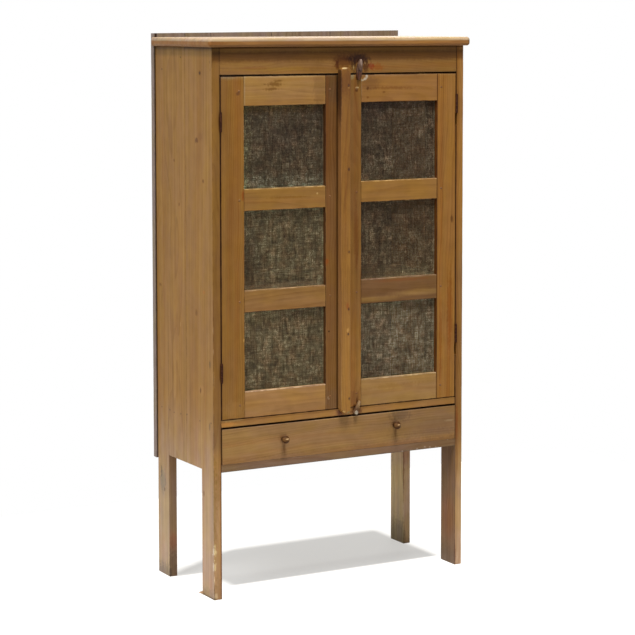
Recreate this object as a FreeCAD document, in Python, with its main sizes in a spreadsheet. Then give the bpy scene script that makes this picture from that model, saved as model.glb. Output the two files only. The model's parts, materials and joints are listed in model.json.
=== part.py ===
import FreeCAD, Part
import os

import Sketcher
from FreeCAD import Vector

# A pie safe: a tall ventilated cupboard of nailed boards on four sawn legs, with two framed
# doors of wire screening, a full-width drawer under them and a pair of wooden turn buttons.
# Millimetres. The front faces -Y, +X is the viewer's right, +Z is up, and the origin lies on
# the floor at the middle of the space that the whole cupboard takes.

doc = FreeCAD.newDocument("PieSafe")
sheet = doc.addObject("Spreadsheet::Sheet", "Sizes")


class Measure:
    """A length: its present number, and the formula on the sheet's cells that drives it."""

    def __init__(self, number, formula):
        self.number = number
        self.formula = formula

    def __add__(self, other):
        other = measure(other)
        return Measure(self.number + other.number, f"({self.formula} + {other.formula})")

    def __sub__(self, other):
        other = measure(other)
        return Measure(self.number - other.number, f"({self.formula} - {other.formula})")

    def __mul__(self, other):
        other = measure(other)
        return Measure(self.number * other.number, f"({self.formula} * {other.formula})")

    def __truediv__(self, other):
        other = measure(other)
        return Measure(self.number / other.number, f"({self.formula} / {other.formula})")

    def __radd__(self, other):
        return measure(other) + self

    def __rsub__(self, other):
        return measure(other) - self

    def __rmul__(self, other):
        return measure(other) * self

    def __neg__(self):
        return Measure(-self.number, f"(-1 * {self.formula})")


def measure(value):
    return value if isinstance(value, Measure) else Measure(float(value), str(value))


def size(alias, number):
    """Write one driving dimension on the sheet and give it back as a Measure."""
    row = size.rows = size.rows + 1
    sheet.set(f"A{row}", alias)
    sheet.set(f"B{row}", str(number))
    sheet.setAlias(f"B{row}", alias)
    return Measure(float(number), f"Sizes.{alias}")


size.rows = 0

# The case
case_width = size("case_width", 863)
case_depth = size("case_depth", 385)
side_height = size("side_height", 1621)
side_thickness = size("side_thickness", 25)
front_plank_width = size("front_plank_width", 180)
leg_width = size("leg_width", 79)
leg_height = size("leg_height", 377.5)
board_edge_round = size("board_edge_round", 1.5)
top_thickness = size("top_thickness", 27)
top_overhang = size("top_overhang", 16)
top_edge_round = size("top_edge_round", 9)
header_height = size("header_height", 80)
header_thickness = size("header_thickness", 22)
floor_thickness = size("floor_thickness", 20.5)
shelf_thickness = size("shelf_thickness", 20)
lower_shelf_height = size("lower_shelf_height", 359.5)
upper_shelf_height = size("upper_shelf_height", 627.5)
cleat_height = size("cleat_height", 30)
cleat_thickness = size("cleat_thickness", 16)
cleat_setback = size("cleat_setback", 30)
drawer_opening_height = size("drawer_opening_height", 110.5)
bottom_rail_height = size("bottom_rail_height", 22)
bottom_rail_depth = size("bottom_rail_depth", 60)
runner_width = size("runner_width", 30)

# The back: five boards of odd widths, left to right. They stand a little past the left side and
# above the top, where they are sawn off along one line that climbs to the right
back_thickness = size("back_thickness", 19)
back_drop = size("back_drop", 21)
back_overhang = size("back_overhang", 6)
back_plank_1_width = size("back_plank_1_width", 107)
back_plank_2_width = size("back_plank_2_width", 88)
back_plank_3_width = size("back_plank_3_width", 212)
back_plank_4_width = size("back_plank_4_width", 210)
back_left_rise = size("back_left_rise", 12)
back_right_rise = size("back_right_rise", 18)
back_plank_gap = size("back_plank_gap", 1.2)

# The doors
door_thickness = size("door_thickness", 22)
door_side_gap = size("door_side_gap", 2)
door_meeting_gap = size("door_meeting_gap", 2)
door_top_gap = size("door_top_gap", 4.5)
door_bottom_gap = size("door_bottom_gap", 2.5)
door_stop_gap = size("door_stop_gap", 0.5)
lip_thickness = size("lip_thickness", 12)
rabbet_width = size("rabbet_width", 9)
tenon_thickness = size("tenon_thickness", 7)
tenon_length = size("tenon_length", 42)
tenon_shoulder = size("tenon_shoulder", 12)
door_sizes = {
    "left": {
        "hinge_stile": size("left_hinge_stile_width", 76.5),
        "meeting_stile": size("left_meeting_stile_width", 55.5),
        "bottom_rail": size("left_bottom_rail_height", 77.5),
        "lower_screen": size("left_lower_screen_height", 234.5),
        "lower_mid_rail": size("left_lower_mid_rail_height", 64.5),
        "middle_screen": size("left_middle_screen_height", 233.5),
        "upper_mid_rail": size("left_upper_mid_rail_height", 64.5),
        "top_rail": size("left_top_rail_height", 86.5),
    },
    "right": {
        "hinge_stile": size("right_hinge_stile_width", 69),
        "meeting_stile": size("right_meeting_stile_width", 66.5),
        "bottom_rail": size("right_bottom_rail_height", 81),
        "lower_screen": size("right_lower_screen_height", 230.5),
        "lower_mid_rail": size("right_lower_mid_rail_height", 74),
        "middle_screen": size("right_middle_screen_height", 234),
        "upper_mid_rail": size("right_upper_mid_rail_height", 63.5),
        "top_rail": size("right_top_rail_height", 83),
    },
}
peg_diameter = size("peg_diameter", 7)
peg_setback = size("peg_setback", 16)
screen_thickness = size("screen_thickness", 1.2)
bead_width = size("bead_width", 8)
bead_joint_gap = size("bead_joint_gap", 0.3)

# The meeting strip, nailed to the right door and lapping the left one
strip_width = size("strip_width", 33)
strip_thickness = size("strip_thickness", 20)
strip_lap = size("strip_lap", 12)
strip_top_reach = size("strip_top_reach", 22)
strip_bottom_reach = size("strip_bottom_reach", 15)
strip_corner_round = size("strip_corner_round", 11)
strip_cut_width = size("strip_cut_width", 12)
strip_cut_height = size("strip_cut_height", 14)
strip_edge_round = size("strip_edge_round", 3)
strip_clearance = size("strip_clearance", 0.3)

# The butt hinges, each side's set down from the door's head and up from its foot
hinge_places = {
    "left": {
        "drop": size("left_upper_hinge_drop", 131),
        "rise": size("left_lower_hinge_rise", 138.5),
    },
    "right": {
        "drop": size("right_upper_hinge_drop", 93),
        "rise": size("right_lower_hinge_rise", 198.5),
    },
}
hinge_height = size("hinge_height", 57)
leaf_thickness = size("leaf_thickness", 1.8)
leaf_width = size("leaf_width", 19)
leaf_play = size("leaf_play", 0.2)
barrel_diameter = size("barrel_diameter", 7)
barrel_stand = size("barrel_stand", 0.3)
knuckle_clearance = size("knuckle_clearance", 0.1)
hinge_pin_diameter = size("hinge_pin_diameter", 3.2)
hinge_pin_fit = size("hinge_pin_fit", 0.05)
hinge_pin_overhang = size("hinge_pin_overhang", 1.5)
old_mortise_height = size("old_mortise_height", 96)
old_mortise_depth = size("old_mortise_depth", 3)

# The drawer
drawer_front_thickness = size("drawer_front_thickness", 22)
drawer_left_gap = size("drawer_left_gap", 3.2)
drawer_right_gap = size("drawer_right_gap", 0.8)
drawer_top_gap = size("drawer_top_gap", 5)
drawer_lift = size("drawer_lift", 0.3)
drawer_back_gap = size("drawer_back_gap", 20)
drawer_side_thickness = size("drawer_side_thickness", 12)
drawer_side_drop = size("drawer_side_drop", 5)
drawer_back_inset = size("drawer_back_inset", 10)
drawer_bottom_thickness = size("drawer_bottom_thickness", 8)
groove_depth = size("groove_depth", 5)
groove_rise = size("groove_rise", 10)
tail_length = size("tail_length", 15)
tail_width = size("tail_width", 26)
tail_slope = size("tail_slope", 3)
tail_count = 3

# The drawer knobs
knob_diameter = size("knob_diameter", 23)
knob_reach = size("knob_reach", 26)
knob_crown = size("knob_crown", 6)
knob_rim = size("knob_rim", 4)
knob_neck_diameter = size("knob_neck_diameter", 13)
knob_tenon_diameter = size("knob_tenon_diameter", 9)
knob_fit = size("knob_fit", 0.05)
left_knob_inset = size("left_knob_inset", 201.8)
right_knob_inset = size("right_knob_inset", 220.2)
left_knob_rise = size("left_knob_rise", 59)
right_knob_rise = size("right_knob_rise", 65)

# The turn buttons, each on one round-headed screw, and the tilt at which each is left
button_thickness = size("button_thickness", 9)
button_stand = size("button_stand", 0.6)
button_edge_round = size("button_edge_round", 2.5)
top_button_length = size("top_button_length", 73.5)
top_button_width = size("top_button_width", 18.5)
top_button_end_round = size("top_button_end_round", 4)
top_button_offset = size("top_button_offset", 58)
top_button_rise = size("top_button_rise", 10.5)
top_button_tilt = size("top_button_tilt", 8.5)
bottom_button_reach = size("bottom_button_reach", 37)
bottom_button_width = size("bottom_button_width", 13)
bottom_button_tip_width = size("bottom_button_tip_width", 7)
bottom_button_offset = size("bottom_button_offset", 45)
bottom_button_drop = size("bottom_button_drop", 14)
bottom_button_tilt = size("bottom_button_tilt", 25)
screw_head_height = size("screw_head_height", 3)
screw_head_round = size("screw_head_round", 2)
screw_shank_diameter = size("screw_shank_diameter", 4.5)
screw_fit = size("screw_fit", 0.06)
screw_play = size("screw_play", 0.2)
screw_depth = size("screw_depth", 16)
top_screw_head_diameter = size("top_screw_head_diameter", 8)
bottom_screw_head_diameter = size("bottom_screw_head_diameter", 12)
doc.recompute()

# Places that several pieces share
left_x = -case_width / 2
right_x = case_width / 2
inner_left = left_x + side_thickness
inner_right = right_x - side_thickness
inner_width = case_width - 2 * side_thickness
front_y = (knob_reach - case_depth - back_thickness) / 2
back_y = front_y + case_depth
header_z = side_height - header_height
rail_top = leg_height + bottom_rail_height
floor_z = rail_top + drawer_opening_height
floor_top = floor_z + floor_thickness
door_z = floor_top + door_bottom_gap
door_height = header_z - door_top_gap - door_z
door_width = (inner_width - 2 * door_side_gap - door_meeting_gap) / 2

PLANES = {"front": "XZ_Plane", "side": "YZ_Plane", "plan": "XY_Plane"}


def new_body(label, x, y, z):
    """An empty body whose own origin stands at x, y, z."""
    body = doc.addObject("PartDesign::Body", label)
    body.Label = label
    body.AllowCompound = True
    for axis, place in (("x", x), ("y", y), ("z", z)):
        body.setExpression(f"Placement.Base.{axis}", measure(place).formula)
    return body


def new_sketch(body, view, start):
    """A sketch on the body's front, side or plan plane, moved back, right or up by start."""
    sketch = body.newObject("Sketcher::SketchObject", f"{body.Name}_sketch")
    plane = next(f for f in body.Origin.OriginFeatures if f.Role == PLANES[view])
    sketch.AttachmentSupport = (plane, "")
    sketch.MapMode = "FlatFace"
    towards = -measure(start) if view == "front" else measure(start)
    sketch.setExpression("AttachmentOffset.Base.z", towards.formula)
    return sketch


def pin_point(sketch, line, end, point):
    """Hold one end of a line of the sketch at a point given by two measures."""
    for kind, place in zip(("DistanceX", "DistanceY"), point):
        place = measure(place)
        index = sketch.addConstraint(Sketcher.Constraint(kind, -1, 1, line, end, place.number))
        sketch.setExpression(f"Constraints[{index}]", place.formula)


def draw_outline(sketch, points):
    """Draw a closed outline of straight lines through the points."""
    corners = [Vector(measure(x).number, measure(y).number, 0) for x, y in points]
    first = sketch.GeometryCount
    count = len(points)
    for i in range(count):
        sketch.addGeometry(Part.LineSegment(corners[i], corners[(i + 1) % count]), False)
    for i in range(count):
        after = first + (i + 1) % count
        sketch.addConstraint(Sketcher.Constraint("Coincident", first + i, 2, after, 1))
        pin_point(sketch, first + i, 1, points[i])


def draw_circle(sketch, point, radius):
    radius = measure(radius)
    centre = Vector(measure(point[0]).number, measure(point[1]).number, 0)
    line = sketch.addGeometry(Part.Circle(centre, Vector(0, 0, 1), radius.number), False)
    pin_point(sketch, line, 3, point)
    index = sketch.addConstraint(Sketcher.Constraint("Radius", line, radius.number))
    sketch.setExpression(f"Constraints[{index}]", radius.formula)


def corners_of(a, b, width, height):
    return [(a, b), (a + width, b), (a + width, b + height), (a, b + height)]


def extrude(body, sketch, view, length, cut=False):
    """Add or cut the sketch's outline over a length, always towards +X, +Y or +Z."""
    kind = "PartDesign::Pocket" if cut else "PartDesign::Pad"
    feature = body.newObject(kind, f"{body.Name}_{'cut' if cut else 'pad'}")
    feature.Profile = sketch
    feature.Reversed = (view == "front") != cut
    feature.setExpression("Length", measure(length).formula)
    sketch.Visibility = False
    return feature


def block(body, view, a, b, width, height, start, length, cut=False):
    """A rectangular block or cut: a, b, width and height in the view, then its depth."""
    a, b = measure(a), measure(b)
    sketch = new_sketch(body, view, start)
    draw_outline(sketch, corners_of(a, b, measure(width), measure(height)))
    return extrude(body, sketch, view, length, cut)


def drill(body, view, points, radius, start, length, cut=True):
    """Round holes, or round rods where cut is false, all of one radius and length."""
    sketch = new_sketch(body, view, start)
    for point in points:
        draw_circle(sketch, point, radius)
    return extrude(body, sketch, view, length, cut)


def round_edges(body, radius, wanted):
    """Round the edges of the body's last feature that the test wanted picks out."""
    doc.recompute()
    base = body.Tip
    names = [f"Edge{i + 1}" for i, edge in enumerate(base.Shape.Edges) if wanted(edge)]
    feature = body.newObject("PartDesign::Fillet", f"{body.Name}_round")
    feature.Base = (base, names)
    feature.setExpression("Radius", measure(radius).formula)
    return feature


def lies_at(edge, axis, place):
    """True where the whole edge has this local coordinate, axis being X, Y or Z."""
    place = measure(place).number
    span = edge.BoundBox
    return all(abs(getattr(span, f"{axis}{end}") - place) < 0.01 for end in ("Min", "Max"))


# Side planks: each side is two boards edge to edge, sawn out below to leave two legs.
hinge_axis_inset = door_side_gap / 2
mortise_depth = leaf_thickness + leaf_play / 2 - door_side_gap / 2
leaf_reach = leaf_width - barrel_diameter / 2 - barrel_stand

def hinge_bottoms(side):
    """Heights above the floor of the feet of a side's upper and lower hinges."""
    upper = door_z + door_height - hinge_places[side]["drop"] - hinge_height / 2
    lower = door_z + hinge_places[side]["rise"] - hinge_height / 2
    return [lower, upper]


def cut_mortises(body, side, feet, x, towards_right, reach):
    """Sink a leaf's recess at each hinge; the right side was first cut for longer hinges."""
    cuts = [(foot, hinge_height, mortise_depth) for foot in feet]
    if side == "right":
        left_over = old_mortise_height - hinge_height
        cuts += [(foot - left_over, left_over, old_mortise_depth) for foot in feet]
    for low, tall, deep in cuts:
        start = x if towards_right else x - deep
        block(body, "side", 0, low, reach, tall, start, deep, cut=True)


for side, x in (("left", left_x), ("right", inner_right)):
    plank = new_body(f"{side}_front_side_plank", x, front_y, 0)
    block(plank, "side", 0, 0, front_plank_width, side_height, 0, side_thickness)
    cut_width = front_plank_width - leg_width
    block(plank, "side", leg_width, 0, cut_width, leg_height, 0, side_thickness, cut=True)
    inner_face = side_thickness if side == "left" else measure(0)
    cut_mortises(plank, side, hinge_bottoms(side), inner_face, side == "right", leaf_reach)
    outer = 0 if side == "left" else side_thickness
    round_edges(plank, board_edge_round, lambda e: lies_at(e, "X", outer) and lies_at(e, "Y", 0))

    rear_width = case_depth - front_plank_width
    plank = new_body(f"{side}_rear_side_plank", x, front_y + front_plank_width, 0)
    block(plank, "side", 0, 0, rear_width, side_height, 0, side_thickness)
    cut_width = rear_width - leg_width
    block(plank, "side", 0, 0, cut_width, leg_height, 0, side_thickness, cut=True)

# Top board, with its front and side edges rounded over above and below
top = new_body("top_board", left_x - top_overhang, front_y - top_overhang, side_height)
top_width = case_width + 2 * top_overhang
top_depth = case_depth + top_overhang
block(top, "plan", 0, 0, top_width, top_depth, 0, top_thickness)
round_edges(top, top_edge_round, lambda e: lies_at(e, "Y", 0) or lies_at(e, "X", 0)
            or lies_at(e, "X", top_width))

# Rails, floor and shelves between the sides
header = new_body("header_rail", inner_left, front_y, header_z)
block(header, "front", 0, 0, inner_width, header_height, 0, header_thickness)

floor = new_body("cupboard_floor", inner_left, front_y, floor_z)
block(floor, "front", 0, 0, inner_width, floor_thickness, 0, case_depth)

bottom_rail = new_body("bottom_rail", inner_left, front_y, leg_height)
block(bottom_rail, "front", 0, 0, inner_width, bottom_rail_height, 0, bottom_rail_depth)

shelf_setback = door_thickness + door_stop_gap
shelf_depth = case_depth - shelf_setback
shelf_feet = [floor_top + lower_shelf_height, floor_top + upper_shelf_height]
for name, z in zip(("lower_shelf", "upper_shelf"), shelf_feet):
    shelf = new_body(name, inner_left, front_y + shelf_setback, z)
    block(shelf, "front", 0, 0, inner_width, shelf_thickness, 0, shelf_depth)

cleats = new_body("shelf_cleats", inner_left, front_y + shelf_setback + cleat_setback, 0)
for x in (0, inner_width - cleat_thickness):
    for z in shelf_feet:
        block(cleats, "front", x, z - cleat_height, cleat_thickness, cleat_height,
              0, shelf_depth - cleat_setback)

runner_depth = case_depth - bottom_rail_depth
for name, x in (("left_drawer_runner", inner_left),
                ("right_drawer_runner", inner_right - runner_width)):
    runner = new_body(name, x, front_y + bottom_rail_depth, leg_height)
    block(runner, "front", 0, 0, runner_width, bottom_rail_height, 0, runner_depth)

# Back planks, nailed over the rear edges of the sides and the top; the last takes up what is left
back_left = left_x - back_overhang
back_width = right_x - back_left
back_foot = leg_height - back_drop
back_climb = (back_right_rise - back_left_rise) / back_width
back_widths = [back_plank_1_width, back_plank_2_width, back_plank_3_width, back_plank_4_width]
plank_x = measure(0)
for number, width in enumerate([*back_widths, None], 1):
    sawn_width = back_width - plank_x if width is None else width - back_plank_gap
    plank = new_body(f"back_plank_{number}", back_left + plank_x, back_y, back_foot)
    left_height = side_height + top_thickness + back_left_rise + back_climb * plank_x - back_foot
    right_height = left_height + back_climb * sawn_width
    sketch = new_sketch(plank, "front", 0)
    draw_outline(sketch, [(0, 0), (sawn_width, 0), (sawn_width, right_height), (0, left_height)])
    extrude(plank, sketch, "front", back_thickness)
    if width is not None:
        plank_x = plank_x + width

# Doors: pegged mortise-and-tenon frames, rabbeted at the back for three screens each
door_x = {
    "left": inner_left + door_side_gap,
    "right": inner_right - door_side_gap - door_width,
}
door_y = {"left": front_y, "right": front_y - strip_clearance}
tenon_y = lip_thickness - tenon_thickness
back_part = door_thickness - lip_thickness


def rail_places(side):
    """Each rail's name, foot and height above the door's foot, and each screen's."""
    parts = door_sizes[side]
    order = ["bottom_rail", "lower_screen", "lower_mid_rail", "middle_screen", "upper_mid_rail"]
    foot = measure(0)
    rails, screens = [], []
    for part in order:
        (screens if "screen" in part else rails).append((part, foot, parts[part]))
        foot = foot + parts[part]
    top_foot = door_height - parts["top_rail"]
    screens.append(("upper_screen", foot, top_foot - foot))
    rails.append(("top_rail", top_foot, parts["top_rail"]))
    return rails, screens


for side in ("left", "right"):
    parts = door_sizes[side]
    rails, screens = rail_places(side)
    left_stile = parts["hinge_stile"] if side == "left" else parts["meeting_stile"]
    right_stile = parts["meeting_stile"] if side == "left" else parts["hinge_stile"]
    clear_width = door_width - left_stile - right_stile
    peg_columns = (left_stile - peg_setback, door_width - right_stile + peg_setback)
    peg_rows = [foot + height / 2 for _, foot, height in rails]
    right_stile_x = door_width - right_stile

    for name, x, width, on_left in (
            ("hinge_stile", 0 if side == "left" else right_stile_x, parts["hinge_stile"],
             side == "left"),
            ("meeting_stile", right_stile_x if side == "left" else 0, parts["meeting_stile"],
             side == "right")):
        stile = new_body(f"{side}_door_{name}", door_x[side] + x, door_y[side], door_z)
        block(stile, "front", 0, 0, width, door_height, 0, door_thickness)
        inner = width - rabbet_width if on_left else 0
        block(stile, "front", inner, 0, rabbet_width, door_height, lip_thickness, back_part,
              cut=True)
        mortise_x = width - tenon_length if on_left else 0
        peg_x = width - peg_setback if on_left else peg_setback
        for _, foot, height in rails:
            block(stile, "front", mortise_x, foot + tenon_shoulder, tenon_length,
                  height - 2 * tenon_shoulder, tenon_y, tenon_thickness, cut=True)
        drill(stile, "front", [(peg_x, row) for row in peg_rows], peg_diameter / 2, 0,
              door_thickness)
        if name == "hinge_stile":
            feet = [foot - door_z for foot in hinge_bottoms(side)]
            hung_edge = measure(0) if on_left else width
            reach = leaf_reach + front_y - door_y[side]
            cut_mortises(stile, side, feet, hung_edge, on_left, reach)

    for name, foot, height in rails:
        rail = new_body(f"{side}_door_{name}", door_x[side] + left_stile, door_y[side],
                        door_z + foot)
        low_rabbet = 0 if name == "bottom_rail" else rabbet_width
        high_rabbet = 0 if name == "top_rail" else rabbet_width
        block(rail, "front", 0, 0, clear_width, height, 0, lip_thickness)
        block(rail, "front", -rabbet_width, low_rabbet, clear_width + 2 * rabbet_width,
              height - low_rabbet - high_rabbet, lip_thickness, back_part)
        block(rail, "front", -tenon_length, tenon_shoulder, clear_width + 2 * tenon_length,
              height - 2 * tenon_shoulder, tenon_y, tenon_thickness)
        drill(rail, "front", [(-peg_setback, height / 2), (clear_width + peg_setback, height / 2)],
              peg_diameter / 2, 0, door_thickness)

    for name, foot, height in screens:
        screen = new_body(f"{side}_door_{name}", door_x[side] + left_stile - rabbet_width,
                          door_y[side] + lip_thickness, door_z + foot - rabbet_width)
        block(screen, "front", 0, 0, clear_width + 2 * rabbet_width,
              height + 2 * rabbet_width, 0, screen_thickness)

    beads = new_body(f"{side}_door_screen_beads", door_x[side] + left_stile - rabbet_width,
                     door_y[side] + lip_thickness + screen_thickness, door_z)
    bead_thickness = back_part - screen_thickness
    full_width = clear_width + 2 * rabbet_width
    for _, foot, height in screens:
        low = foot - rabbet_width
        tall = height + 2 * rabbet_width
        for x in (0, full_width - bead_width):
            block(beads, "front", x, low, bead_width, tall, 0, bead_thickness)
        short = full_width - 2 * (bead_width + bead_joint_gap)
        for z in (low, low + tall - bead_width):
            block(beads, "front", bead_width + bead_joint_gap, z, short, bead_width,
                  0, bead_thickness)

    pegs = new_body(f"{side}_door_pegs", door_x[side], door_y[side], door_z)
    drill(pegs, "front", [(x, z) for x in peg_columns for z in peg_rows], peg_diameter / 2, 0,
          door_thickness, cut=False)

# Meeting strip on the right door's meeting stile: its lower left corner was sawn off on the
# slant, and the other three were rounded
strip_x = door_x["right"] - door_meeting_gap - strip_lap
strip_z = door_z - strip_bottom_reach
strip_height = door_height + strip_bottom_reach + strip_top_reach
strip = new_body("meeting_strip", strip_x, door_y["right"] - strip_thickness, strip_z)
sketch = new_sketch(strip, "front", 0)
draw_outline(sketch, [(0, strip_cut_height), (strip_cut_width, 0), (strip_width, 0),
                      (strip_width, strip_height), (0, strip_height)])
extrude(strip, sketch, "front", strip_thickness)
strip_corners = ((0, strip_height), (strip_width, strip_height), (strip_width, 0))
round_edges(strip, strip_corner_round, lambda e: any(
    lies_at(e, "X", x) and lies_at(e, "Z", z) for x, z in strip_corners))
round_edges(strip, strip_edge_round, lambda e: lies_at(e, "Y", 0))

# Butt hinges: five knuckles on a loose pin, three on the case leaf and two on the door leaf
hinge_x = {"left": inner_left + hinge_axis_inset, "right": inner_right - hinge_axis_inset}
hinge_y = front_y - barrel_diameter / 2 - barrel_stand
knuckle_count = 5
knuckle_height = hinge_height / knuckle_count


def hinge_leaves(label, side, towards_right, knuckles):
    """Two leaves of one kind on one side, with their knuckles, bored for the pin."""
    leaves = new_body(label, hinge_x[side], hinge_y, 0)
    plate_x = leaf_play / 2 if towards_right else -leaf_play / 2 - leaf_thickness
    plate_y = barrel_diameter / 2 + knuckle_clearance
    radius = barrel_diameter / 2
    bore = hinge_pin_diameter / 2 + hinge_pin_fit
    for foot in hinge_bottoms(side):
        block(leaves, "side", plate_y, foot, leaf_width - plate_y, hinge_height,
              plate_x, leaf_thickness)
        for number in knuckles:
            low = foot + number * knuckle_height + knuckle_clearance
            tall = knuckle_height - 2 * knuckle_clearance
            drill(leaves, "plan", [(0, 0)], radius, low, tall, cut=False)
            block(leaves, "side", 0, low, plate_y, tall, plate_x, leaf_thickness)
        drill(leaves, "plan", [(0, 0)], bore, foot, hinge_height)


for side, on_right in (("left", True), ("right", False)):
    hinge_leaves(f"{side}_case_hinge_leaves", side, not on_right, (0, 2, 4))
    hinge_leaves(f"{side}_door_hinge_leaves", side, on_right, (1, 3))
    pins = new_body(f"{side}_hinge_pins", hinge_x[side], hinge_y, 0)
    for foot in hinge_bottoms(side):
        drill(pins, "plan", [(0, 0)], hinge_pin_diameter / 2, foot - hinge_pin_overhang,
              hinge_height + 2 * hinge_pin_overhang, cut=False)

# Drawer: half-blind dovetails at the front, bottom board in grooves and under the back
drawer_length = case_depth - drawer_back_gap
drawer_x = inner_left + drawer_left_gap
drawer_z = rail_top + drawer_lift
drawer_width = inner_width - drawer_left_gap - drawer_right_gap
drawer_height = drawer_opening_height - drawer_lift - drawer_top_gap
drawer_side_height = drawer_height - drawer_side_drop
tail_pitch = drawer_side_height / tail_count


def tails(body, y, x, cut):
    """One dovetail across a side's thickness, then its copies up the corner."""
    sketch = new_sketch(body, "side", x)
    low = (tail_pitch - tail_width) / 2
    high = low + tail_width
    draw_outline(sketch, [(y, low), (y + tail_length, low + tail_slope),
                          (y + tail_length, high - tail_slope), (y, high)])
    first = extrude(body, sketch, "side", drawer_side_thickness, cut)
    doc.recompute()
    rows = body.newObject("PartDesign::LinearPattern", f"{body.Name}_rows")
    rows.Originals = [first]
    upright = next(f for f in body.Origin.OriginFeatures if f.Role == "Z_Axis")
    rows.Direction = (upright, [""])
    rows.setExpression("Length", (tail_pitch * (tail_count - 1)).formula)
    rows.Occurrences = tail_count
    body.Tip = rows


tail_start = drawer_front_thickness - tail_length
front = new_body("drawer_front", drawer_x, front_y, drawer_z)
block(front, "front", 0, 0, drawer_width, drawer_height, 0, drawer_front_thickness)
block(front, "front", drawer_side_thickness, groove_rise, drawer_width - 2 * drawer_side_thickness,
      drawer_bottom_thickness, drawer_front_thickness - groove_depth, groove_depth, cut=True)
knob_places = [
    (left_knob_inset, left_knob_rise),
    (drawer_width - right_knob_inset, right_knob_rise),
]
drill(front, "front", knob_places, knob_tenon_diameter / 2 + knob_fit, 0, drawer_front_thickness)
tails(front, tail_start, 0, True)
tails(front, tail_start, drawer_width - drawer_side_thickness, True)

for side, x in (("left", 0), ("right", drawer_width - drawer_side_thickness)):
    board = new_body(f"drawer_{side}_side", drawer_x + x, front_y, drawer_z)
    block(board, "side", drawer_front_thickness, 0, drawer_length - drawer_front_thickness,
          drawer_side_height, 0, drawer_side_thickness)
    tails(board, tail_start, 0, False)
    groove_x = drawer_side_thickness - groove_depth if side == "left" else 0
    block(board, "side", tail_start, groove_rise, drawer_length - tail_start,
          drawer_bottom_thickness, groove_x, groove_depth, cut=True)

bottom_width = drawer_width - 2 * drawer_side_thickness + 2 * groove_depth
bottom = new_body("drawer_bottom", drawer_x + drawer_side_thickness - groove_depth,
                  front_y + drawer_front_thickness - groove_depth, drawer_z + groove_rise)
block(bottom, "plan", 0, 0, bottom_width, drawer_length - drawer_front_thickness + groove_depth,
      0, drawer_bottom_thickness)

back_rise = groove_rise + drawer_bottom_thickness
back = new_body("drawer_back", drawer_x + drawer_side_thickness,
                front_y + drawer_length - drawer_back_inset - drawer_side_thickness,
                drawer_z + back_rise)
block(back, "front", 0, 0, drawer_width - 2 * drawer_side_thickness,
      drawer_side_height - back_rise, 0, drawer_side_thickness)


def knob(label, place):
    """A turned knob: domed cap, waisted neck and a tenon through the drawer front."""
    body = new_body(label, drawer_x + place[0], front_y, drawer_z + place[1])
    rim_front = knob_crown - knob_reach
    rim_back = rim_front + knob_rim
    cap = knob_diameter / 2
    neck = knob_neck_diameter / 2
    tenon = knob_tenon_diameter / 2
    points = [(0, -knob_reach), (cap, rim_front), (cap, rim_back), (neck, rim_back + knob_rim),
              (neck, 0), (tenon, 0), (tenon, drawer_front_thickness), (0, drawer_front_thickness)]
    sketch = new_sketch(body, "plan", 0)
    spots = [Vector(measure(x).number, measure(y).number, 0) for x, y in points]
    crown_radius = (cap.number ** 2 + knob_crown.number ** 2) / (2 * knob_crown.number)
    centre = Vector(0, spots[0].y + crown_radius, 0)
    middle = centre + (spots[0] + spots[1] - centre * 2).normalize() * crown_radius
    sketch.addGeometry(Part.Arc(spots[0], middle, spots[1]), False)
    for i in range(1, len(points)):
        sketch.addGeometry(Part.LineSegment(spots[i], spots[(i + 1) % len(points)]), False)
    arc_ends = (1, 2) if sketch.Geometry[0].StartPoint.isEqual(spots[0], 0.001) else (2, 1)
    pin_point(sketch, 0, arc_ends[0], points[0])
    pin_point(sketch, 0, arc_ends[1], points[1])
    sketch.addConstraint(Sketcher.Constraint("PointOnObject", 0, 3, -2))
    for i in range(1, len(points)):
        following = (i + 1) % len(points)
        sketch.addConstraint(Sketcher.Constraint("Coincident", i, 2, following, 1) if following
                             else Sketcher.Constraint("Coincident", i, 2, 0, arc_ends[0]))
        if i > 1:
            pin_point(sketch, i, 1, points[i])
    sketch.addConstraint(Sketcher.Constraint("Coincident", 1, 1, 0, arc_ends[1]))
    turning = body.newObject("PartDesign::Revolution", f"{label}_turning")
    turning.Profile = sketch
    turning.ReferenceAxis = (sketch, ["V_Axis"])
    turning.Angle = 360
    sketch.Visibility = False


knob("left_knob", knob_places[0])
knob("right_knob", knob_places[1])


# Turn buttons: the upper one is lens-shaped and turns about its middle on the header, the
# lower one is a tapered finger that turns about its round foot on the edge of the floor.
button_y = front_y - button_stand - button_thickness


def turn_button(label, pivot, tilt):
    """An empty body at the button's pivot, tilted the way the button is left."""
    button = new_body(label, pivot[0], button_y, pivot[1])
    button.Placement.Rotation = FreeCAD.Rotation(Vector(0, 1, 0), tilt.number)
    button.setExpression("Placement.Rotation.Angle", tilt.formula)
    return button


def finish_button(button):
    """Ease the front edges, then bore the hole for the screw."""
    round_edges(button, button_edge_round, lambda e: lies_at(e, "Y", 0))
    drill(button, "front", [(0, 0)], screw_shank_diameter / 2 + screw_fit, 0, button_thickness)


top_pivot = (top_button_offset, header_z + top_button_rise)
bottom_pivot = (bottom_button_offset, floor_top - bottom_button_drop)

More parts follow.
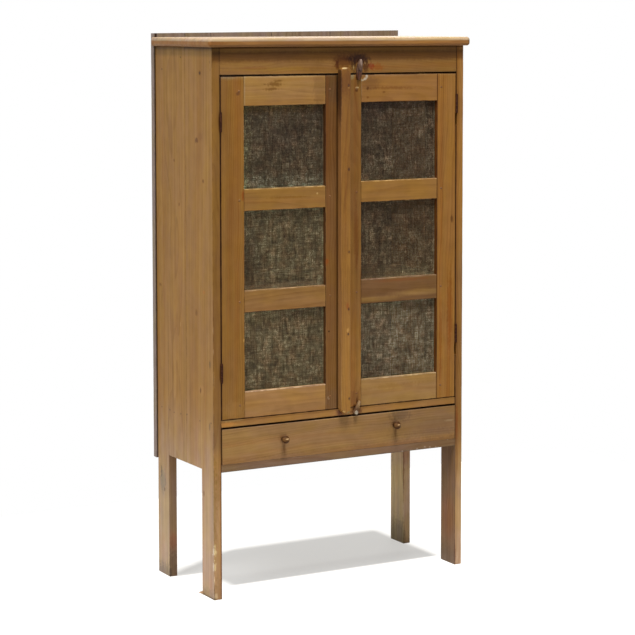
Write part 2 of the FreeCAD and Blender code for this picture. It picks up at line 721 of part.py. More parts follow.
top_button = turn_button("top_turn_button", top_pivot, top_button_tilt)
half_length = top_button_length / 2
half_width = top_button_width / 2
sketch = new_sketch(top_button, "front", 0)
ends = [Vector(0, -half_length.number, 0), Vector(0, half_length.number, 0)]
for arc, bulge in enumerate((half_width, -half_width)):
    first, last = (ends[0], ends[1]) if arc == 0 else (ends[1], ends[0])
    sketch.addGeometry(Part.Arc(first, Vector(bulge.number, 0, 0), last), False)
    pin_point(sketch, arc, 1, (0, -half_length if arc == 0 else half_length))
    pin_point(sketch, arc, 2, (0, half_length if arc == 0 else -half_length))
    bulge_radius = (half_length * half_length + half_width * half_width) / top_button_width
    index = sketch.addConstraint(Sketcher.Constraint("Radius", arc, bulge_radius.number))
    sketch.setExpression(f"Constraints[{index}]", bulge_radius.formula)
extrude(top_button, sketch, "front", button_thickness)
round_edges(top_button, top_button_end_round, lambda e: lies_at(e, "X", 0))
finish_button(top_button)

bottom_button = turn_button("bottom_turn_button", bottom_pivot, bottom_button_tilt)
foot_radius = bottom_button_width / 2
tip_radius = bottom_button_tip_width / 2
sketch = new_sketch(bottom_button, "front", 0)
draw_outline(sketch, [(-foot_radius, 0), (foot_radius, 0),
                      (tip_radius, bottom_button_reach), (-tip_radius, bottom_button_reach)])
extrude(bottom_button, sketch, "front", button_thickness)
drill(bottom_button, "front", [(0, 0)], foot_radius, 0, button_thickness, cut=False)
finish_button(bottom_button)

for name, pivot, head, into in (
        ("top_button_screw", top_pivot, top_screw_head_diameter, header),
        ("bottom_button_screw", bottom_pivot, bottom_screw_head_diameter, floor)):
    screw = new_body(name, pivot[0], button_y - screw_play - screw_head_height, pivot[1])
    drill(screw, "front", [(0, 0)], head / 2, 0, screw_head_height, cut=False)
    round_edges(screw, screw_head_round, lambda e: lies_at(e, "Y", 0))
    shank = screw_play + button_thickness + button_stand + screw_depth
    drill(screw, "front", [(0, 0)], screw_shank_diameter / 2, screw_head_height, shank, cut=False)
    foot = header_z if into is header else floor_z
    drill(into, "front", [(pivot[0] - inner_left, pivot[1] - foot)], screw_shank_diameter / 2,
          0, screw_depth)


def finish():
    """Check every object, then write each sub-part's STEP file."""
    doc.recompute()
    os.makedirs("parts", exist_ok=True)
    bad = [o.Name for o in doc.Objects if {"Invalid", "Error"} & set(o.State)]
    if bad:
        raise RuntimeError(f"failed objects: {bad}")
    bodies = [o for o in doc.Objects if o.TypeId == "PartDesign::Body"]
    for body in bodies:
        if body.Shape.isNull() or not body.Shape.isValid():
            raise RuntimeError(f"no valid shape: {body.Label}")
    for body in bodies:
        body.Shape.exportStep(f"parts/{body.Label}.step")


finish()
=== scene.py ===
import json
import math
import random

import bmesh
import bpy
from mathutils import Euler, Matrix, Vector, noise


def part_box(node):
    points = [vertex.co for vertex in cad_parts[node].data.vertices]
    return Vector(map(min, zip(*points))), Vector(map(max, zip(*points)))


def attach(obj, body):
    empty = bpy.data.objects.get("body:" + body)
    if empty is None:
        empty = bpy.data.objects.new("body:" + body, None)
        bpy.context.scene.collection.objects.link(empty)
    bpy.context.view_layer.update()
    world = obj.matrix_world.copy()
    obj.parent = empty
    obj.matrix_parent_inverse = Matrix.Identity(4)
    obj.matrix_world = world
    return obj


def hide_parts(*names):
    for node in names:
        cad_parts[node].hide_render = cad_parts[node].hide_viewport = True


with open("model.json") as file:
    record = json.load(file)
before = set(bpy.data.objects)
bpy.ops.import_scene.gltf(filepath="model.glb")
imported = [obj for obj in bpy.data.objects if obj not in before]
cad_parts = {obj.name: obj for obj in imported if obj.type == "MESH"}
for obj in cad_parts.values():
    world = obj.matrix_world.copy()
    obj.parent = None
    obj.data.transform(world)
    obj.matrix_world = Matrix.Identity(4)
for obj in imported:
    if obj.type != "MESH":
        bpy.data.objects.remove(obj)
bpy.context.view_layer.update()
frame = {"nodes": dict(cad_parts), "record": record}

body_of_node = {node: body for body, nodes in frame["record"]["behaviour"]["bodies"].items()
                for node in nodes}

# -------------------------------------------
# Side planks. Each side is two pine boards edge to edge, planed by hand and sawn out below to
# leave two legs. They are varnished, and wet floors have scrubbed the legs pale.
# -------------------------------------------


class Worked:
    """What a socket gives out. Sums and products of it add nodes to the socket's own tree."""

    def __init__(self, socket):
        self.socket, self.tree = socket, socket.id_data

    def reckon(self, operation, *others):
        kind = "ShaderNodeMath" if self.socket.type == "VALUE" else "ShaderNodeVectorMath"
        node = add_node(self.tree, kind, dict(enumerate((self, *others))), operation=operation)
        return Worked(node.outputs["Value" if operation == "LENGTH" else 0])

    def __add__(self, other):
        return self.reckon("ADD", other)

    def __sub__(self, other):
        return self.reckon("SUBTRACT", other)

    def __mul__(self, other):
        return self.reckon("MULTIPLY", other)

    def __truediv__(self, other):
        return self.reckon("DIVIDE", other)


def feed(node, inputs):
    """Set or link some of a node's inputs."""
    for key, value in inputs.items():
        if isinstance(value, Worked):
            value.tree.links.new(value.socket, node.inputs[key])
        else:
            node.inputs[key].default_value = value


def add_node(tree, kind, inputs=(), **settings):
    node = tree.nodes.new(kind)
    for name, value in settings.items():
        setattr(node, name, value)
    feed(node, dict(inputs))
    return node


def work_out(tree, kind, inputs=(), out=0, **settings):
    """What one new node gives out."""
    return Worked(add_node(tree, kind, inputs, **settings).outputs[out])


def join_ways(tree, x=0.0, y=0.0, z=0.0):
    return work_out(tree, "ShaderNodeCombineXYZ", {0: x, 1: y, 2: z})


def split_ways(vector):
    node = add_node(vector.tree, "ShaderNodeSeparateXYZ", {0: vector})
    return [Worked(socket) for socket in node.outputs]


def rise(value, low, high, bottom=0.0, top=1.0):
    """A smooth step from bottom to top as the value goes from low to high."""
    inputs = {"Value": value, "From Min": low, "From Max": high, "To Min": bottom, "To Max": top}
    return work_out(value.tree, "ShaderNodeMapRange", inputs, interpolation_type="SMOOTHSTEP")


def fade(value, full, gone):
    """1 as far as one level of the value, and 0 from the other on."""
    return rise(value, full, gone, 1.0, 0.0)


def lay_over(share, under, over):
    """One colour laid over another by a share from 0 to 1."""
    return work_out(share.tree, "ShaderNodeMix", {0: share, 6: under, 7: over}, 2, data_type="RGBA")


def tinted(share, colour, tint):
    """The colour multiplied by a tint, as far as the share says: below 1 dirties or paints shade, above 1
    bares or paints light.
    """
    return lay_over(share, colour, colour * tint)


def cloud(point, stretch, detail=2.0, out="Fac"):
    """Soft random shade, stretched: how many times it changes per metre along each axis."""
    return work_out(point.tree, "ShaderNodeTexNoise",
                    {"Vector": point * stretch, "Scale": 1.0, "Detail": detail}, out)


def new_group(name, inputs, outputs, kind="ShaderNodeTree"):
    """What an empty node group is given, by name, and the node that takes what it makes."""
    tree = bpy.data.node_groups.new(name, kind)
    for direction, sockets in (("INPUT", inputs), ("OUTPUT", outputs)):
        for socket, sort in sockets.items():
            tree.interface.new_socket(name=socket, in_out=direction, socket_type=f"NodeSocket{sort}")
    given = tree.nodes.new("NodeGroupInput").outputs
    return {name: Worked(given[name]) for name in inputs}, tree.nodes.new("NodeGroupOutput")


def make_figure():
    """Pine's figure round the heart of its log: growth rings, fibres and reddish streaks."""
    given, made = new_group(
        "pine_figure",
        {"Point": "Vector", "Tone": "Color", "Ring gap": "Float", "Ring depth": "Float",
         "Redness": "Float"},
        {"Colour": "Color", "Height": "Float", "Roughness": "Float"})
    point = given["Point"]
    sway = (cloud(point, (6.0, 6.0, 1.4), 3.0, "Color") - (0.5, 0.5, 0.5)) * (0.09, 0.09, 0.0)
    years = ((point + sway) * (1.0, 1.0, 0.0)).reckon("LENGTH") / given["Ring gap"]
    turn = years.reckon("FRACT")
    year = work_out(point.tree, "ShaderNodeTexWhiteNoise", {"W": years.reckon("FLOOR")}, "Value",
                    noise_dimensions="1D")
    late = rise(turn, 0.3, 0.92) * fade(turn, 0.92, 1.0) * (year * 1.2 + 0.25)
    fibre = cloud(point, (480.0, 480.0, 10.0))
    streak = cloud(point, (85.0, 85.0, 1.7), 3.0)
    drift = cloud(point, (12.0, 12.0, 1.3))
    mottle = cloud(point, (30.0, 30.0, 22.0), 3.0)
    shade = late * given["Ring depth"] * -1.0 + 0.03
    for part, depth in ((fibre, 0.2), (streak, 0.42), (drift, 0.36), (mottle, 0.32)):
        shade = shade - (part - 0.5) * depth
    toned = given["Tone"] * join_ways(point.tree, *(shade * depth + 1.0 for depth in (1.0, 1.12, 1.35)))
    hue = rise(cloud(point, (26.0, 26.0, 9.0)), 0.35, 0.65)
    toned = lay_over(hue, toned * (1.02, 1.025, 0.9), toned * (0.98, 0.98, 1.1))
    red = (rise(cloud(point, (40.0, 40.0, 0.9), 3.0), 0.47, 0.68) + late * 0.3) * given["Redness"]
    feed(made, {"Colour": tinted(red, toned, (0.92, 0.72, 0.54)), "Height": late * 0.6 + fibre,
                "Roughness": streak * 0.3 + 0.36})
    return point.tree


def make_mark():
    """A stain, knot, bare patch, painted shadow or painted highlight: 1 inside an oval of the given
    reach, ragged at its edge.
    """
    given, made = new_group(
        "mark", {"Point": "Vector", "Place": "Vector", "Reach": "Vector", "Ragged": "Float"},
        {"Share": "Float"})
    apart = ((given["Point"] - given["Place"]) / given["Reach"]).reckon("LENGTH")
    ragged = cloud(given["Point"], (150.0, 150.0, 110.0), 3.0) - 0.5
    feed(made, {"Share": fade(ragged * given["Ragged"] + apart, 0.35, 1.1)})
    return apart.tree


def make_arris():
    """Nearness to the edges of a board's box, where dirt gathers or hands rub the varnish off."""
    given, made = new_group(
        "arris", {"Point": "Vector", "Low": "Vector", "High": "Vector", "Reach": "Float"},
        {"Share": "Float"})
    above = (given["Point"] - given["Low"]).reckon("ABSOLUTE")
    below = (given["High"] - given["Point"]).reckon("ABSOLUTE")
    x, y, z = split_ways(above.reckon("MINIMUM", below))
    least = x.reckon("MINIMUM", y).reckon("MINIMUM", z)
    most = x.reckon("MAXIMUM", y).reckon("MAXIMUM", z)
    rough = cloud(given["Point"], (45.0, 45.0, 45.0), 4.0)
    reach = given["Reach"] * rise(rough, 0.3, 0.7, 0.35, 1.9)
    feed(made, {"Share": fade((x + y + z - least - most) / reach, 0.5, 1.0)})
    return rough.tree


pine_figure = make_figure()
mark = make_mark()
arris = make_arris()
GRAIN_TURN = {"x": (0.0, -math.pi / 2, 0.0), "y": (math.pi / 2, 0.0, 0.0), "z": (0.0, 0.0, 0.0)}


def start_material(name):
    """A material with its shader, its tree and the object's own coordinates."""
    material = bpy.data.materials.new(name)
    material.use_nodes = True
    tree = material.node_tree
    point = work_out(tree, "ShaderNodeTexCoord", out="Object")
    return material, tree.nodes["Principled BSDF"], point


def bump(height, depth):
    return work_out(height.tree, "ShaderNodeBump",
                    {"Height": height, "Distance": depth, "Strength": 0.6})


def near_arris(point, low, high, reach):
    return work_out(point.tree, "ShaderNodeGroup",
                    {"Point": point, "Low": low, "High": high, "Reach": reach}, node_tree=arris)


def stained(point, colour, marks):
    """Marks on a surface, each a place, a reach and a tint, and how ragged its edge is."""
    for spot, reach, tint, *ragged in marks:
        share = work_out(point.tree, "ShaderNodeGroup",
                         {"Point": point, "Place": spot, "Reach": reach,
                          "Ragged": ragged[0] if ragged else 0.7}, node_tree=mark)
        colour = tinted(share, colour, tint)
    return colour


def pine(node, tone, along, heart=0.09, redness=0.4, ring_gap=0.007, rings=0.16, marks=(),
         edge=None, scrubbed=None, washes=(), gloss=0.12, roughness=None, depth=0.0003):
    """Solid pine for one board: its place in the log, its colour, wear, washes and marks.

    A wash tints the board up to a coordinate, an axis, and fades out at a second one; a second
    axis may hold it in the same way.
    """
    low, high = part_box(node)
    chance = random.Random(node)
    turn = Euler(GRAIN_TURN[along])
    centre = turn.to_matrix() @ ((low + high) / 2)
    spans = [abs(x) for x in turn.to_matrix() @ (high - low)]
    offset = Vector((heart, 0.25 * spans[1] * chance.uniform(-1, 1), chance.uniform(-20, 20)))
    if spans[1] < spans[0]:
        offset.x, offset.y = 0.25 * spans[0] * chance.uniform(-1, 1), heart
    tilt = Vector((chance.uniform(-1, 1), chance.uniform(-1, 1), 0)) * 0.015
    material, shader, point = start_material(f"{node}_pine")
    turned = work_out(point.tree, "ShaderNodeMapping",
                      {"Vector": point, "Rotation": tuple(turn), "Location": offset - centre})
    leaned = work_out(point.tree, "ShaderNodeMapping", {"Vector": turned, "Rotation": tilt})
    figure = add_node(point.tree, "ShaderNodeGroup",
                      {"Point": leaned, "Tone": (*tone, 1.0), "Ring gap": ring_gap,
                       "Ring depth": rings, "Redness": redness}, node_tree=pine_figure)
    colour, height, sheen = (Worked(socket) for socket in figure.outputs)
    ways = dict(zip("xyz", split_ways(point)))
    if scrubbed:
        bottom, top, tint = scrubbed
        level = cloud(point, (16.0, 16.0, 5.0), 3.0) * 0.16 + ways["z"]
        colour = tinted(fade(level, bottom, top), colour, tint)
    for axis, full, gone, tint, *limit in washes:
        share = fade(ways[axis], full, gone)
        if limit:
            share = share * fade(ways[limit[0]], *limit[1:])
        colour = tinted(share, colour, tint)
    if edge:
        colour = tinted(near_arris(point, low, high, edge[0]), colour, edge[1])
    feed(shader, {"Base Color": stained(point, colour, marks), "Roughness": roughness or sheen,
                  "Specular IOR Level": gloss, "Normal": bump(height, depth)})
    return material


SAME_CORNER = 1e-5
ON_PLANE = 2e-5
DENTS_PER_METRE = 24


def merged(node):
    """A copy of the node's mesh to work on, with its corners joined up."""
    work = bmesh.new()
    work.from_mesh(frame["nodes"][node].data)
    bmesh.ops.remove_doubles(work, verts=work.verts, dist=SAME_CORNER)
    return work


def finish_mesh(work, name, square, small):
    """A mesh of the work, smooth round its curves and flat on its broad square faces."""
    mesh = bpy.data.meshes.new(name)
    work.to_mesh(mesh)
    work.free()
    mesh.set_sharp_from_angle(angle=math.radians(40))
    for face in mesh.polygons:
        is_square = max(abs(part) for part in face.normal) > square
        face.use_smooth = not is_square or face.area < small
    return mesh


def eased(node, ease=0.0012, dent=0.0006, step=0.03):
    """The node's board with its arrises eased by hand, so that each wanders a little."""
    low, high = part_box(node)
    work = merged(node)
    bmesh.ops.dissolve_limit(work, angle_limit=0.01, verts=work.verts, edges=work.edges)

    def planes(vert):
        return {(axis, end) for axis in range(3) for end, box in enumerate((low, high))
                if abs(vert.co[axis] - box[axis]) < ON_PLANE}

    hull = [e for e in work.edges if len(planes(e.verts[0]) & planes(e.verts[1])) >= 2]
    bmesh.ops.bevel(work, geom=hull, offset=ease, offset_type="OFFSET", segments=2, profile=0.5,
                    affect="EDGES", clamp_overlap=True)
    size = high - low
    axis = max(range(3), key=lambda i: size[i])
    normal = Vector([float(i == axis) for i in range(3)])
    for i in range(1, int(size[axis] / step)):
        bmesh.ops.bisect_plane(work, geom=work.verts[:] + work.edges[:] + work.faces[:],
                               plane_co=low + normal * (i * step), plane_no=normal)
    seed = Vector((random.Random(node).uniform(0, 50), 0, 0))
    middle = (low + high) / 2
    for vert in work.verts:
        gaps = sorted((min(vert.co[i] - low[i], high[i] - vert.co[i]), i) for i in range(3))
        if gaps[1][0] > 1.2 * ease:
            continue
        push = dent * max(0.0, noise.noise(vert.co * DENTS_PER_METRE + seed) + 0.15)
        for gap, i in gaps[:2]:
            if gap > ON_PLANE:
                vert.co[i] += math.copysign(push, middle[i] - vert.co[i])
    return finish_mesh(work, f"{node}_eased", 0.99, 0.0)


def place(mesh, name, body, material, slot, *nodes):
    """Put a finished piece on its body, in its finish, in place of the nodes it stands for."""
    piece = bpy.data.objects.new(name, mesh)
    bpy.context.scene.collection.objects.link(piece)
    mesh.materials.clear()
    mesh.materials.append(material)
    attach(piece, body)
    if nodes:
        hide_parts(*nodes)
    return piece


def board(node, tone, along, slot="finished_pine", ease=0.0012, dent=0.0006, **finish):
    """One board of the cupboard in its worn state."""
    material = pine(node, tone, along, **finish)
    return place(eased(node, ease, dent), f"{node}_board", body_of_node[node], material, slot, node)


LEFT_FACE = -0.4315
FRONT = -0.189


def on_side(rows, deep=0.004, level=LEFT_FACE):
    """Marks on a side: each has its place back and up, its reach both ways and its tint."""
    return [((level, y, z), (deep, back, up), *rest) for y, z, back, up, *rest in rows]


def on_front(rows, deep=0.006, level=FRONT):
    """Marks on a front: each has its place across and up, its reach both ways and its tint."""
    return [((x, level, z), (across, deep, up), *rest) for x, z, across, up, *rest in rows]


DARK = (0.45, 0.36, 0.3)
DIRTY = (0.72, 0.66, 0.62)
BARE = (1.25, 1.35, 1.7)
PALE = (1.45, 1.7, 2.6)
# Painted shade of the gaps between parts: the edge beside each gap is darkened to widen the gap's dark
# line, with some grime.
GAP_SHADE_AND_GRIME = (0.3, 0.24, 0.2)

# Darker wood round each left hinge, widening the hinge's dark shape onto the boards: partly painted shade
# of the barrel, partly grime.
hinge_halos = on_front([(-0.4055, z, 0.008, 0.036, (0.42, 0.3, 0.22), 0.2) for z in (1.404, 0.67)])
# Painted shadow of the top board's overhang: a dark band across the header and the front planks just
# below the top.
shaded_head = (1.594, 4.0, 0.02, (0.5, 0.43, 0.36), 0.4)
left_front_marks = hinge_halos + on_side([
    (-0.109, 1.546, 0.009, 0.008, DARK), (-0.174, 1.578, 0.003, 0.005, DIRTY),
    (-0.177, 1.557, 0.003, 0.005, DIRTY), (-0.086, 1.349, 0.014, 0.01, (0.5, 0.42, 0.42), 1.2),
    (-0.11, 1.36, 0.02, 0.016, (0.88, 0.84, 0.9)), (-0.128, 1.231, 0.009, 0.008, (0.6, 0.48, 0.45)),
    (-0.13, 0.905, 0.01, 0.007, (1.15, 0.95, 0.9)), (-0.079, 0.838, 0.01, 0.012, DIRTY),
    (-0.104, 0.611, 0.006, 0.012, DARK), (-0.11, 0.612, 0.022, 0.02, (1.15, 1.15, 1.35)),
    (-0.166, 0.697, 0.007, 0.014, (0.62, 0.66, 0.85)), (-0.163, 0.512, 0.007, 0.014, (0.62, 0.66, 0.85)),
    (-0.165, 0.045, 0.014, 0.03, (1.02, 0.92, 0.88), 1.2)])
left_front_marks += on_side([
    (-0.15, 1.25, 0.02, 0.3, (1.08, 1.1, 1.05)),
    (-0.15, 0.0, 0.12, 0.035, (0.78, 0.8, 0.8), 1.6),
    (-0.15, 0.0, 0.12, 0.008, (0.55, 0.56, 0.52), 0.8)], deep=0.01)
left_front_marks += on_side([
    (FRONT, 0.8, 0.003, 0.014, PALE, 0.3), (FRONT, 0.737, 0.003, 0.011, PALE, 0.3)], deep=0.003)
left_front_marks += on_side([
    (FRONT, 0.145, 0.01, 0.022, (1.8, 2.3, 3.0), 3.2),
    (FRONT, 0.1, 0.009, 0.016, (1.7, 2.1, 2.7), 3.2)], deep=0.007)
left_front_marks += on_front([
    (-0.419, 0.33, 0.008, 0.07, (0.84, 0.82, 0.68), 1.6),
    (-0.409, 0.2, 0.004, 0.3, (0.9, 0.78, 0.66), 1.2),
    (-0.419, 0.0, 0.03, 0.075, (0.82, 0.82, 0.8), 1.6)], deep=0.004)
left_front_marks += on_front([(-0.419, *shaded_head)], deep=0.003)
left_front_marks += [
    ((LEFT_FACE, -0.1226, 0.306), (0.012, 0.005, 0.012), DARK),
    ((LEFT_FACE, FRONT, 0.655), (0.006, 0.006, 0.03), BARE, 2.0),
    ((LEFT_FACE + 0.002, FRONT, 0.25), (0.007, 0.01, 0.24), (0.84, 0.86, 0.68), 2.4),
    ((LEFT_FACE, FRONT, 0.06), (0.0025, 0.0025, 0.02), (1.7, 2.1, 2.7), 1.6),
    ((LEFT_FACE + 0.006, FRONT, 0.012), (0.007, 0.009, 0.011), (1.6, 1.9, 2.3), 1.8)]
left_rear_marks = on_side([
    (0.068, 1.281, 0.006, 0.007, (0.62, 0.5, 0.45)), (0.035, 1.151, 0.006, 0.007, (0.66, 0.55, 0.5)),
    (0.171, 0.896, 0.01, 0.006, (0.7, 0.62, 0.6))])
left_rear_marks += on_side([
    (0.161, 0.29, 0.026, 0.044, (0.72, 0.82, 0.96), 2.2),
    (0.172, 0.32, 0.006, 0.024, (0.5, 0.52, 0.62), 1.2), (0.15, 0.265, 0.004, 0.009, DARK),
    (0.166, 0.09, 0.02, 0.06, (1.02, 0.95, 0.94), 1.2)], deep=0.006)
left_rear_marks += on_side([(0.15, 0.0, 0.12, 0.045, (0.6, 0.62, 0.7), 1.2)], deep=0.01)
left_rear_marks += on_side([(0.031, 0.791, 0.0018, 0.01, PALE, 0.1)], deep=0.0012)
# The first of these darkens the rear leg's front face down its length: painted shade under the case.
left_rear_marks += on_front([
    (-0.419, 0.18, 0.06, 0.75, (0.6, 0.55, 0.54)), (-0.419, 0.11, 0.02, 0.04, (1.05, 0.78, 0.74)),
    (-0.419, 0.0, 0.06, 0.11, (0.62, 0.62, 0.66), 1.2)], deep=0.0032, level=0.117)
SIDE_TONE = (0.284, 0.1457, 0.0392)
# Painted shadow of the top's overhang along the upper sides.
shade_line = ("z", 1.602, 1.587, (0.7, 0.73, 0.76))
# Painted shadow: a dark line right under the top board.
shadow_under_top = ("z", 1.619, 1.6145, (0.4, 0.35, 0.28))
near_front = ("y", FRONT + 0.0006, FRONT + 0.0018)
seam_dirt = (0.0011, (0.62, 0.58, 0.58))
front_plank = board(
    "left_front_side_plank", SIDE_TONE, "z", heart=0.1, dent=0.0011, redness=0.3, rings=0.1,
    scrubbed=(0.28, 0.7, (1.405, 1.777, 3.87)), marks=left_front_marks, edge=seam_dirt,
    washes=[shade_line, shadow_under_top, (*near_front, (0.71, 0.665, 0.57)),
            (*near_front, (0.9, 0.88, 0.92), "z", 1.0, 1.1),
            (*near_front, (1.38, 1.32, 1.03), "z", 0.4, 0.47),
            ("x", -0.407, -0.4092, GAP_SHADE_AND_GRIME, "z", 1.541, 1.545),
            ("x", -0.4075, -0.415, (0.68, 0.62, 0.52), "z", 0.505, 0.53)])
board("left_rear_side_plank", SIDE_TONE, "z", heart=0.14, redness=0.3, rings=0.1,
      scrubbed=(0.28, 0.7, (1.25, 1.65, 3.52)), marks=left_rear_marks, edge=seam_dirt,
      washes=[shade_line])
board("right_front_side_plank", (0.308, 0.146, 0.0347), "z", heart=0.1, redness=0.35,
      edge=seam_dirt, scrubbed=(0.28, 0.55, (1.4, 1.75, 3.19)),
      # The first wash darkens the inner face of the plank and its leg: painted shade under the case.
      washes=[("x", 0.4068, 0.4085, (0.437, 0.416, 0.455)), shadow_under_top,
              (*near_front, (0.773, 0.832, 0.995), "z", 0.9, 1.1),
              (*near_front, (1.2, 1.22, 1.28), "z", 0.37, 0.4),
              ("x", 0.411, 0.42, (0.8, 0.72, 0.62), *near_front)],
      marks=on_front([(0.412, 0.02, 0.008, 0.03, (1.15, 1.2, 1.3), 1.5),
                      (0.412, 0.45, 0.008, 0.06, (0.95, 0.72, 0.6), 1.5)], deep=0.005)
      + on_front([(0.4065, 0.03, 0.006, 0.05, (0.62, 0.52, 0.46), 1.0)])
      + on_front([(0.419, *shaded_head)], deep=0.003)
      + on_side([(-0.15, 0.15, 0.05, 0.09, (1.05, 0.86, 0.78)),
                 (-0.12, 0.0, 0.11, 0.08, (0.7, 0.76, 0.8))], deep=0.01, level=0.4065))
board("right_rear_side_plank", (0.25, 0.122, 0.0336), "z", heart=0.1, redness=0.35,
      edge=seam_dirt, scrubbed=(0.28, 0.55, (1.62, 2.17, 4.36)),
      washes=[("x", 0.4068, 0.4085, (1.52, 1.71, 1.66)), shade_line],
      marks=[((0.4065, 0.15, 0.0), (0.01, 0.12, 0.1), (0.5, 0.52, 0.54)),
             ((0.4065, 0.117, 0.26), (0.005, 0.005, 0.15), (0.5, 0.4, 0.34), 0.8),
             ((0.419, 0.117, 0.32), (0.06, 0.0032, 0.08), (0.86, 0.76, 0.7), 0.8)])

splinter_mesh = bpy.data.meshes.new("splinter")
splinter_mesh.from_pydata(
    [(-0.4312, -0.1105, 0.0008), (-0.4312, -0.1105, 0.0105), (-0.4312, -0.127, 0.0008),
     (-0.4445, -0.1065, 0.007)], [], [(0, 1, 2), (0, 3, 1), (1, 3, 2), (2, 3, 0)])
place(splinter_mesh, "heel_splinter", "case", front_plank.data.materials[0], "finished_pine")

# -------------------------------------------
# Inside boards. The floor, shelves, cleats and runners are plain pine that was never varnished;
# only the floor's front edge shows, as the rail between doors and drawer.
# -------------------------------------------

INSIDE_TONE = (0.28, 0.175, 0.095)
sill_marks = on_front([
    (-0.372, 0.531, 0.045, 0.007, (1.15, 1.45, 2.0), 1.2),
    (-0.385, 0.519, 0.034, 0.009, (1.3, 1.18, 1.1), 1.2)])
# The mark left of the strip's foot is the strip's painted shadow on the sill, with some dirt.
sill_marks += on_front([
    (0.044, 0.528, 0.01, 0.006, (0.42, 0.32, 0.28), 0.8),
    (-0.006, 0.52, 0.02, 0.016, (0.42, 0.34, 0.5), 1.2),
    (0.05, 0.518, 0.026, 0.014, (0.45, 0.36, 0.38), 1.0)], deep=0.008)
board("cupboard_floor", (0.274, 0.143, 0.0405), "x", marks=sill_marks, edge=(0.001, DIRTY),
      rings=0.1, washes=[("x", 0.4055, 0.4022, GAP_SHADE_AND_GRIME), ("z", 0.53, 0.522, (0.72, 0.68, 0.64)),
                          ("z", 0.5106, 0.5122, (0.62, 0.54, 0.46))])
rail_chips = ((0.214, 0.379), (0.248, 0.378), (0.295, 0.3845), (0.314, 0.382), (0.379, 0.3985),
              (0.268, 0.381), (0.335, 0.381))
rail_marks = on_front([(*chip, 0.0035, 0.003, (1.7, 2.1, 2.9), 1.6) for chip in rail_chips])
board("bottom_rail", (0.17, 0.101, 0.054), "x", marks=rail_marks, rings=0.1, ease=0.0006,
      dent=0.0004, washes=[("z", 0.3785, 0.3805, (0.72, 0.8, 0.86)),
                           ("x", 0.41, 0.1, (0.9, 0.84, 0.76))])
for node, along in (("lower_shelf", "x"), ("upper_shelf", "x"), ("left_drawer_runner", "y"),
                    ("right_drawer_runner", "y"), ("shelf_cleats", "y")):
    board(node, INSIDE_TONE, along, slot="bare_pine")

# -------------------------------------------
# Top board and header. The top is one wide board nailed down over the sides, its edge rounded
# with a plane; its upper arris is painted pale, partly bleached wood and partly a painted highlight,
# with a painted shade line under its front. The header closes the front above the doors and bears
# years of greasy fingers, and a painted shadow of the top's overhang darkens its upper part.
# -------------------------------------------

top_marks = [
    # Painted shade: a dark line along the lower front arris.
    ((0.0, -0.205, 1.622), (0.6, 0.004, 0.0024), (0.62, 0.66, 0.8), 0.8),
    ((0.175, -0.205, 1.645), (0.003, 0.012, 0.006), (0.7, 0.6, 0.52)),
    ((0.443, -0.203, 1.635), (0.007, 0.012, 0.01), (0.66, 0.68, 0.74), 2.0),
    ((0.4475, -0.2, 1.646), (0.012, 0.012, 0.004), (1.25, 1.5, 1.8), 1.4),
    ((-0.435, -0.205, 1.632), (0.05, 0.01, 0.008), (0.8, 0.7, 0.66), 1.2),
    ((-0.18, -0.1, 1.648), (0.09, 0.06, 0.004), (0.8, 0.76, 0.74), 1.2),
]
# The first wash makes the top and its upper arris paler: partly bleached wood, partly a painted
# highlight.
board("top_board", (0.246, 0.112, 0.0308), "x", heart=0.15, marks=top_marks, gloss=0.2, rings=0.1,
      washes=[("z", 1.64, 1.636, (1.5, 2.3, 5.0)), ("x", 0.4, -0.05, (1.13, 1.11, 0.99))])
header_marks = on_front([
    (0.0405, 1.558, 0.003, 0.009, (3.0, 4.4, 7.0), 1.2),
    (0.0805, 1.5705, 0.003, 0.004, (2.6, 3.6, 5.0), 1.2)])
header_marks += on_front([
    (0.0, *shaded_head), (0.01, 1.577, 0.05, 0.024, (0.55, 0.42, 0.36), 1.0),
    (-0.23, 1.556, 0.23, 0.007, (1.1, 1.12, 0.85), 1.6),
    (0.057, 1.584, 0.046, 0.02, (0.24, 0.18, 0.28), 0.9),
    (0.04, 1.561, 0.013, 0.024, (0.42, 0.4, 0.42), 1.4),
    (0.082, 1.562, 0.015, 0.022, (0.42, 0.34, 0.34), 1.4),
    (-0.0165, 1.566, 0.009, 0.016, (0.5, 0.36, 0.3), 1.2),
    (0.102, 1.561, 0.014, 0.011, (0.9, 0.48, 0.56), 1.8),
    (0.124, 1.558, 0.03, 0.013, (1.02, 0.76, 0.52), 1.8),
    (-0.3, 1.56, 0.06, 0.006, (0.9, 0.8, 0.9), 1.4)], deep=0.008)
board("header_rail", (0.213, 0.103, 0.0258), "x", marks=header_marks, rings=0.1,
      washes=[("z", 1.5415, 1.5435, (1.2, 1.3, 1.7)), ("z", 1.5411, 1.5419, GAP_SHADE_AND_GRIME), shadow_under_top,
              ("x", 0.4059, 0.4045, (0.35, 0.27, 0.22)), ("x", -0.25, 0.1, (1.02, 1.05, 1.18))])

# -------------------------------------------
# Back planks. Five rough boards nailed up behind, never finished, grey where air and damp reach.
# The first stands a little clear of the side; the step between is painted dark, painted shade with some
# dirt.
# -------------------------------------------

plank_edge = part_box("back_plank_1")[0].x
edge_wash = [("x", plank_edge + 0.0005, plank_edge + 0.0015, (1.35, 1.4, 1.5))]
# Painted shade, with some dirt, on the step where the first plank stands clear of the side.
edge_gap_shade = [((plank_edge + 0.0075, 0.196, 1.0), (0.006, 0.003, 3.0), (0.16, 0.11, 0.07), 0.2)]
for number in range(1, 6):
    board(f"back_plank_{number}", (0.175, 0.13, 0.094), "z", slot="weathered_plank", rings=0.12,
          redness=0.15, gloss=0.05, dent=0.0012, edge=(0.0014, (0.8, 0.8, 0.82)), depth=0.0008,
          washes=edge_wash if number == 1 else (), marks=edge_gap_shade if number == 1 else ())
